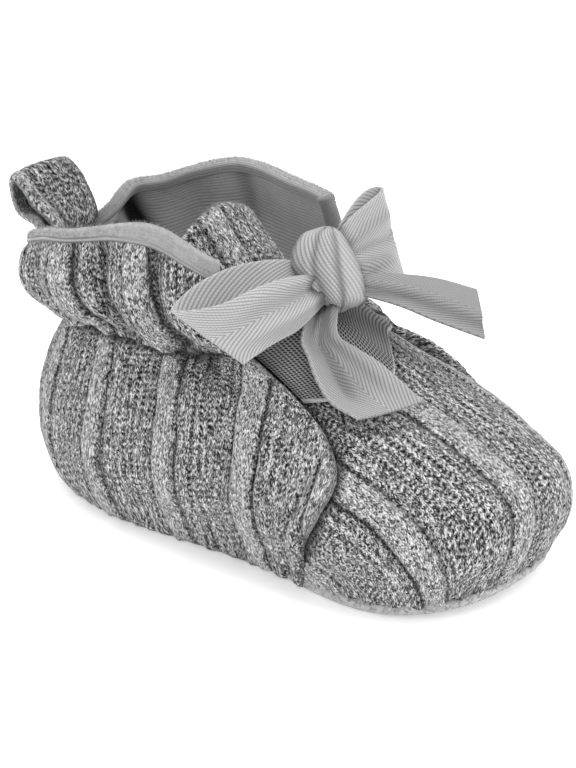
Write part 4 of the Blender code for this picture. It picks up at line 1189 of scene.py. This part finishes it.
def make_pull_loop():
    leg = LOOP_THICKNESS / 2 + GAP
    wide = (LOOP_DEPTH - LOOP_THICKNESS) / 2
    lean = np.array([-math.sin(LOOP_LEAN), 0.0, math.cos(LOOP_LEAN)])
    depth = np.array([math.cos(LOOP_LEAN), 0.0, math.sin(LOOP_LEAN)])
    pivot = rim_seat(np.array([0.0]))[0][0]
    side = np.linspace(-0.5, 0.5, 70) * LOOP_WIDTH
    seat, wall_up, wall_out = rim_seat(side * (1 + LOOP_FLARE) + LOOP_SEAT_SIDE)
    stand = unit(wall_up + np.array([0.0, 0.0, 2.0]))
    upright = np.sum(wall_out * stand, -1, keepdims=True)
    across = unit(wall_out - stand * upright)
    turn = np.linspace(0, math.pi, 150)[:, None, None]
    belly = np.sin(turn) ** LOOP_BELLY
    f = np.cos(turn) * (leg * (1 - belly) + wide * belly)
    h = LOOP_RISE * np.sin(turn)
    close = 0.72 + 0.28 * np.minimum(1.0, h / 0.003)
    sewn = seat + stand * (GAP + leg * np.abs(upright) + h) - across * f * close
    free = pivot + np.stack([side * 0, side, side * 0], -1) + lean * (GAP + h) + depth * f
    k = smooth_step(h / (0.6 * LOOP_RISE))
    middle = sewn * (1 - k) + free * k
    h = h[..., 0]
    off = side / (LOOP_WIDTH / 2)
    middle = moved(middle, LOOP_FULLNESS, smooth_step((off + 1) / 2) * smooth_step(h / (0.7 * LOOP_RISE)))
    facing = normals_of(middle)
    cross = np.clip(1 - np.abs(off) ** 6, 0, 1) ** 0.5
    sag = 0.5 * MM * off**2
    u, w = np.repeat((side / MM)[None], len(h), axis=0), run_along(middle, 0)
    height, rib, dark = knit(u * 1.25 + LOOP_PHASE, w, 15, 0.55)
    height = height * cross + 0.18 * lumps(u / 4, w / 5, 56)
    thick = LOOP_THICKNESS / 2 * (0.50 + 0.50 * cross)
    outer = moved(middle, facing, thick - sag + (height + 0.45 * cross) * MM)
    inner = moved(middle, facing, -thick - sag)
    # painted shade at the loop's roots by the rim, and 0.60 of it on the inner face
    dark = np.clip(dark + 0.6 * falling(h, 0, 0.0022), 0, 1)
    closed_sheet("pull_loop_knit", outer, inner, (u, w, rib), dark, LOOP_KNIT, "pull_loop", 2, 0.60)
    fuzz("pull_loop_fuzz", outer, 3500, 0.9, "pull_loop")


# Bow

def bow_axes():
    """The bow's middle and its axes: to the right, up and out."""
    stand = GAP + ELASTIC_RISE + ELASTIC_THICKNESS + BOW_STAND * RIBBON_WIDTH
    middle = surface(ANKLE - ELASTIC_SPAN / 3, 0.0) + np.array([BOW_FORWARD * RIBBON_WIDTH, 0.0, stand])
    level = math.cos(BOW_TILT)
    out = np.array([math.sin(BOW_TURN) * level, -math.cos(BOW_TURN) * level, math.sin(BOW_TILT)])
    right = np.array([math.cos(BOW_TURN), math.sin(BOW_TURN), 0.0])
    return middle, np.stack([right, np.cross(out, right), out])


BOW_MIDDLE, BOW_AXES = bow_axes()


def bow_place(shares):
    return BOW_MIDDLE + np.asarray(shares, float) * RIBBON_WIDTH @ BOW_AXES


def ribbon(name, pairs, bulge, pleats, long, wide, painted_dimming=0.0, both_ends=True):
    """A tape through listed pairs of edge points. bulge gives, for each pair, how far its middle stands
    out in tape widths. Pleats are (place across, half width, depth, first pair, last pair, reach)."""
    at = np.linspace(0, len(pairs) - 1, long)
    a, b = (flowing(bow_place([pair[k] for pair in pairs]), at) for k in (0, 1))
    t = np.linspace(0, 1, wide)
    middle = a[:, None] + (b - a)[:, None] * t[:, None]
    shape = np.sin(math.pi * t) * flowing(np.array(bulge, float)[:, None], at) * RIBBON_WIDTH
    # the whole tape starts with an even painted shade
    shade = np.full((long, wide), painted_dimming)
    for place, half, depth, first, last, soft, *fold in pleats:
        strength = (rising(at, first - soft, soft) * falling(at, last, soft))[:, None]
        places = np.atleast_1d(place)
        where = np.interp(at, np.linspace(0, len(pairs) - 1, len(places)), places)[:, None]
        line = bell(t, where, half)
        if fold:
            line = 1 - smooth_step((t - where) / half + 0.5)
            # painted shade beside the fold
            shade = shade + bell(t, where + half * 0.6, half) * 0.28 * strength
        shape = shape + line * depth * RIBBON_WIDTH * strength
        # painted shade in the pleats that sink
        shade = shade + line * max(0.0, -depth) * 4.0 * strength
    middle = moved(middle, normals_of(middle), shape)
    facing = normals_of(middle)
    along = np.repeat(run_along(middle, 0)[:, wide // 2, None], wide, axis=1)
    from_knot = np.minimum(along, along[-1:] - along) if both_ends else along
    # painted shadow close to the knot
    shade = np.clip(shade + 0.75 * falling(from_knot, 1.5, 3.5), 0, 1)
    # small teeth along both edges
    teeth = 0.10 * MM * np.abs((along / 0.8) % 1 - 0.5)
    middle = moved(middle, unit(b - a)[:, None], ((t > 0.999) * 1.0 - (t < 0.001)) * teeth)
    half = facing * RIBBON_THICKNESS * 0.42
    across = (t - 0.5) * RIBBON_WIDTH / MM
    closed_sheet(name, middle + half, middle - half, (along, across, 0.0), shade, TAPE, "bow")


def make_knot():
    at = np.linspace(0, len(KNOT_SECTIONS) - 1, 90)
    up, left, right, front, back = flowing(KNOT_SECTIONS, at).T[..., None]
    turn = np.linspace(0, TURN, 150, endpoint=False)
    c, n = np.cos(turn), np.sin(turn)
    k = (np.abs(c) ** KNOT_SQUARENESS + np.abs(n) ** KNOT_SQUARENESS) ** (-1 / KNOT_SQUARENESS)
    place, half = k * c, (right - left) / 2
    facing = np.clip(-n, 0, 1)
    # folds of the wrap run from its top to its bottom, leaning to the left
    lean = place + 0.10 * (at[:, None] - 3.5)
    ridge = -0.055 * bell(lean, 0.28, 0.13) - 0.040 * bell(lean, -0.42, 0.12) + 0.030 * bell(lean, 0.02, 0.25)
    ridge = ridge * facing * np.sin(np.clip((at + 0.8) / 8, 0, 1) * math.pi)[:, None] ** 0.5
    out = k * n * np.where(n < 0, -front, back) + ridge
    points = bow_place(np.stack(np.broadcast_arrays((left + right) / 2 + half * place, up, out), -1))
    middle = points.mean(axis=1)
    first, last = unit(middle[0] - middle[6]), unit(middle[-1] - middle[-7])
    dome = ((0.72, 0.35), (0.40, 0.60), (0.02, 0.70))
    foot = [middle[0] + (points[0] - middle[0]) * size + first * rise * MM for size, rise in reversed(dome)]
    head = [middle[-1] + (points[-1] - middle[-1]) * size + last * rise * MM for size, rise in dome]
    points = np.concatenate([foot, points, head])
    height = up * RIBBON_WIDTH / MM + 0 * place
    girth = (lean + 1.15) * half.mean() * RIBBON_WIDTH / MM * 1.35
    # painted shade in the wrap's fold valleys, at its sides where the loops go in, and a little all over
    dark = (0.5 * bell(lean, 0.30, 0.09) + 0.4 * bell(lean, -0.40, 0.09)) * facing
    dark = np.clip(0.12 + dark + 0.55 * bell(place, -1.0, 0.12) + 0.35 * bell(place, 1.0, 0.10), 0, 1)
    height, girth, dark = (with_rows(a, len(dome), len(dome)) for a in (height, girth, dark))
    cloth("bow_knot", points, height, girth, 0, dark, TAPE, "bow", round_about=True)


def make_bow():
    # the far loop and both tails get an even painted shade
    ribbon("bow_loop_near", LOOP_NEAR, (0.0, 0.02, 0.04, 0.03, 0.0, 0.03, 0.05, 0.05, 0.04, 0.0),
           ((0.40, 0.13, -0.045, 6.8, 9.0, 1.8), (0.70, 0.12, 0.04, 6.4, 9.0, 2.0),
            (0.12, 0.08, 0.03, 7.0, 9.0, 1.5), (0.50, 0.12, -0.06, 0.0, 1.4, 1.6)), 230, 76)
    ribbon("bow_loop_far", LOOP_FAR, (0.0, 0.02, 0.03, 0.0, 0.05, 0.05, 0.02, 0.0),
           ((0.50, 0.06, 0.05, 3.6, 7.0, 1.6), (0.28, 0.09, -0.05, 4.4, 7.0, 1.6),
            (0.74, 0.08, -0.06, 5.0, 7.0, 1.6)), 190, 72, painted_dimming=0.10)
    ribbon("bow_tail_far", TAIL_FAR, (0.0, 0.05, 0.05, 0.04, 0.0),
           ((0.30, 0.12, 0.04, 0.0, 1.4, 1.8), (0.66, 0.10, -0.05, 0.0, 1.6, 1.8),
            ((0.80, 0.74, 0.68, 0.66, 0.66), 0.14, 0.035, -1.0, 5.0, 0.8, "fold")),
           130, 66, painted_dimming=0.40, both_ends=False)
    ribbon("bow_tail_near", TAIL_NEAR, (0.0, 0.06, 0.07, 0.07, 0.05, 0.03),
           (((0.66, 0.58, 0.48, 0.40, 0.32, 0.26), 0.20, 0.09, 0.2, 3.4, 1.4, "fold"),
            (0.26, 0.14, 0.05, 0.0, 3.0, 1.4), (0.80, 0.10, -0.04, 0.0, 3.4, 1.4)),
           150, 70, painted_dimming=0.22, both_ends=False)
    make_knot()


for make in (make_quarter, make_cuff, make_vamp, make_lining, make_rim_band, make_front_bindings, make_soles,
             make_tongue, make_elastic, make_pull_loop, make_bow):
    make()


# Floor, light and camera

def add(name, data, place=(0.0, 0.0, 0.0), towards=None):
    """An object in the scene, turned to look in a direction."""
    made = bpy.data.objects.new(name, data)
    made.location = place
    if towards is not None:
        made.rotation_mode = "QUATERNION"
        made.rotation_quaternion = Vector(towards).to_track_quat("-Z", "Y")
    bpy.context.scene.collection.objects.link(made)
    return made


def make_stage():
    mesh = bpy.data.meshes.new("floor")
    mesh.from_pydata([(-3, -3, 0), (3, -3, 0), (3, 3, 0), (-3, 3, 0)], [], [(0, 1, 2, 3)])
    n = Nodes("pale_floor")
    colour = n.ramp(n.noise(n.place(), 40.0, 3.0), ((0.0, 0.90), (1.0, 0.94)))
    n.set(n.shader.inputs["Emission Color"], 1.0)
    n.set(n.shader.inputs["Emission Strength"], 0.30)
    mesh.materials.append(n.finish(colour, roughness=0.9, specular=0.0))
    floor = add("floor", mesh)


def make_light():
    world = bpy.data.worlds.new("studio")
    world.use_nodes = True
    sky = world.node_tree.nodes["Background"]
    sky.inputs["Color"].default_value = (1.0, 1.0, 1.0, 1.0)
    sky.inputs["Strength"].default_value = 0.64
    bpy.context.scene.world = world
    bpy.context.scene.view_settings.view_transform = "Standard"
    for name, towards, strength in SUNS:
        data = bpy.data.lights.new(name, "SUN")
        data.energy = strength
        data.angle = SUN_SPREAD
        add(name, data, Vector(towards) * -1, towards)


def make_camera():
    turn, tilt, distance = math.radians(37), math.radians(24), 0.75
    target = Vector((-0.0030, 0.0015, 0.0300))
    back = Vector((math.sin(turn) * math.cos(tilt), -math.cos(turn) * math.cos(tilt), math.sin(tilt)))
    data = bpy.data.cameras.new("camera")
    data.sensor_width = 36.0
    data.sensor_fit = "AUTO"
    data.lens = 168.75
    data.clip_start, data.clip_end = 0.01, 20.0
    bpy.context.scene.camera = add("camera", data, target + back * distance, -back)


make_stage()
make_light()
make_camera()
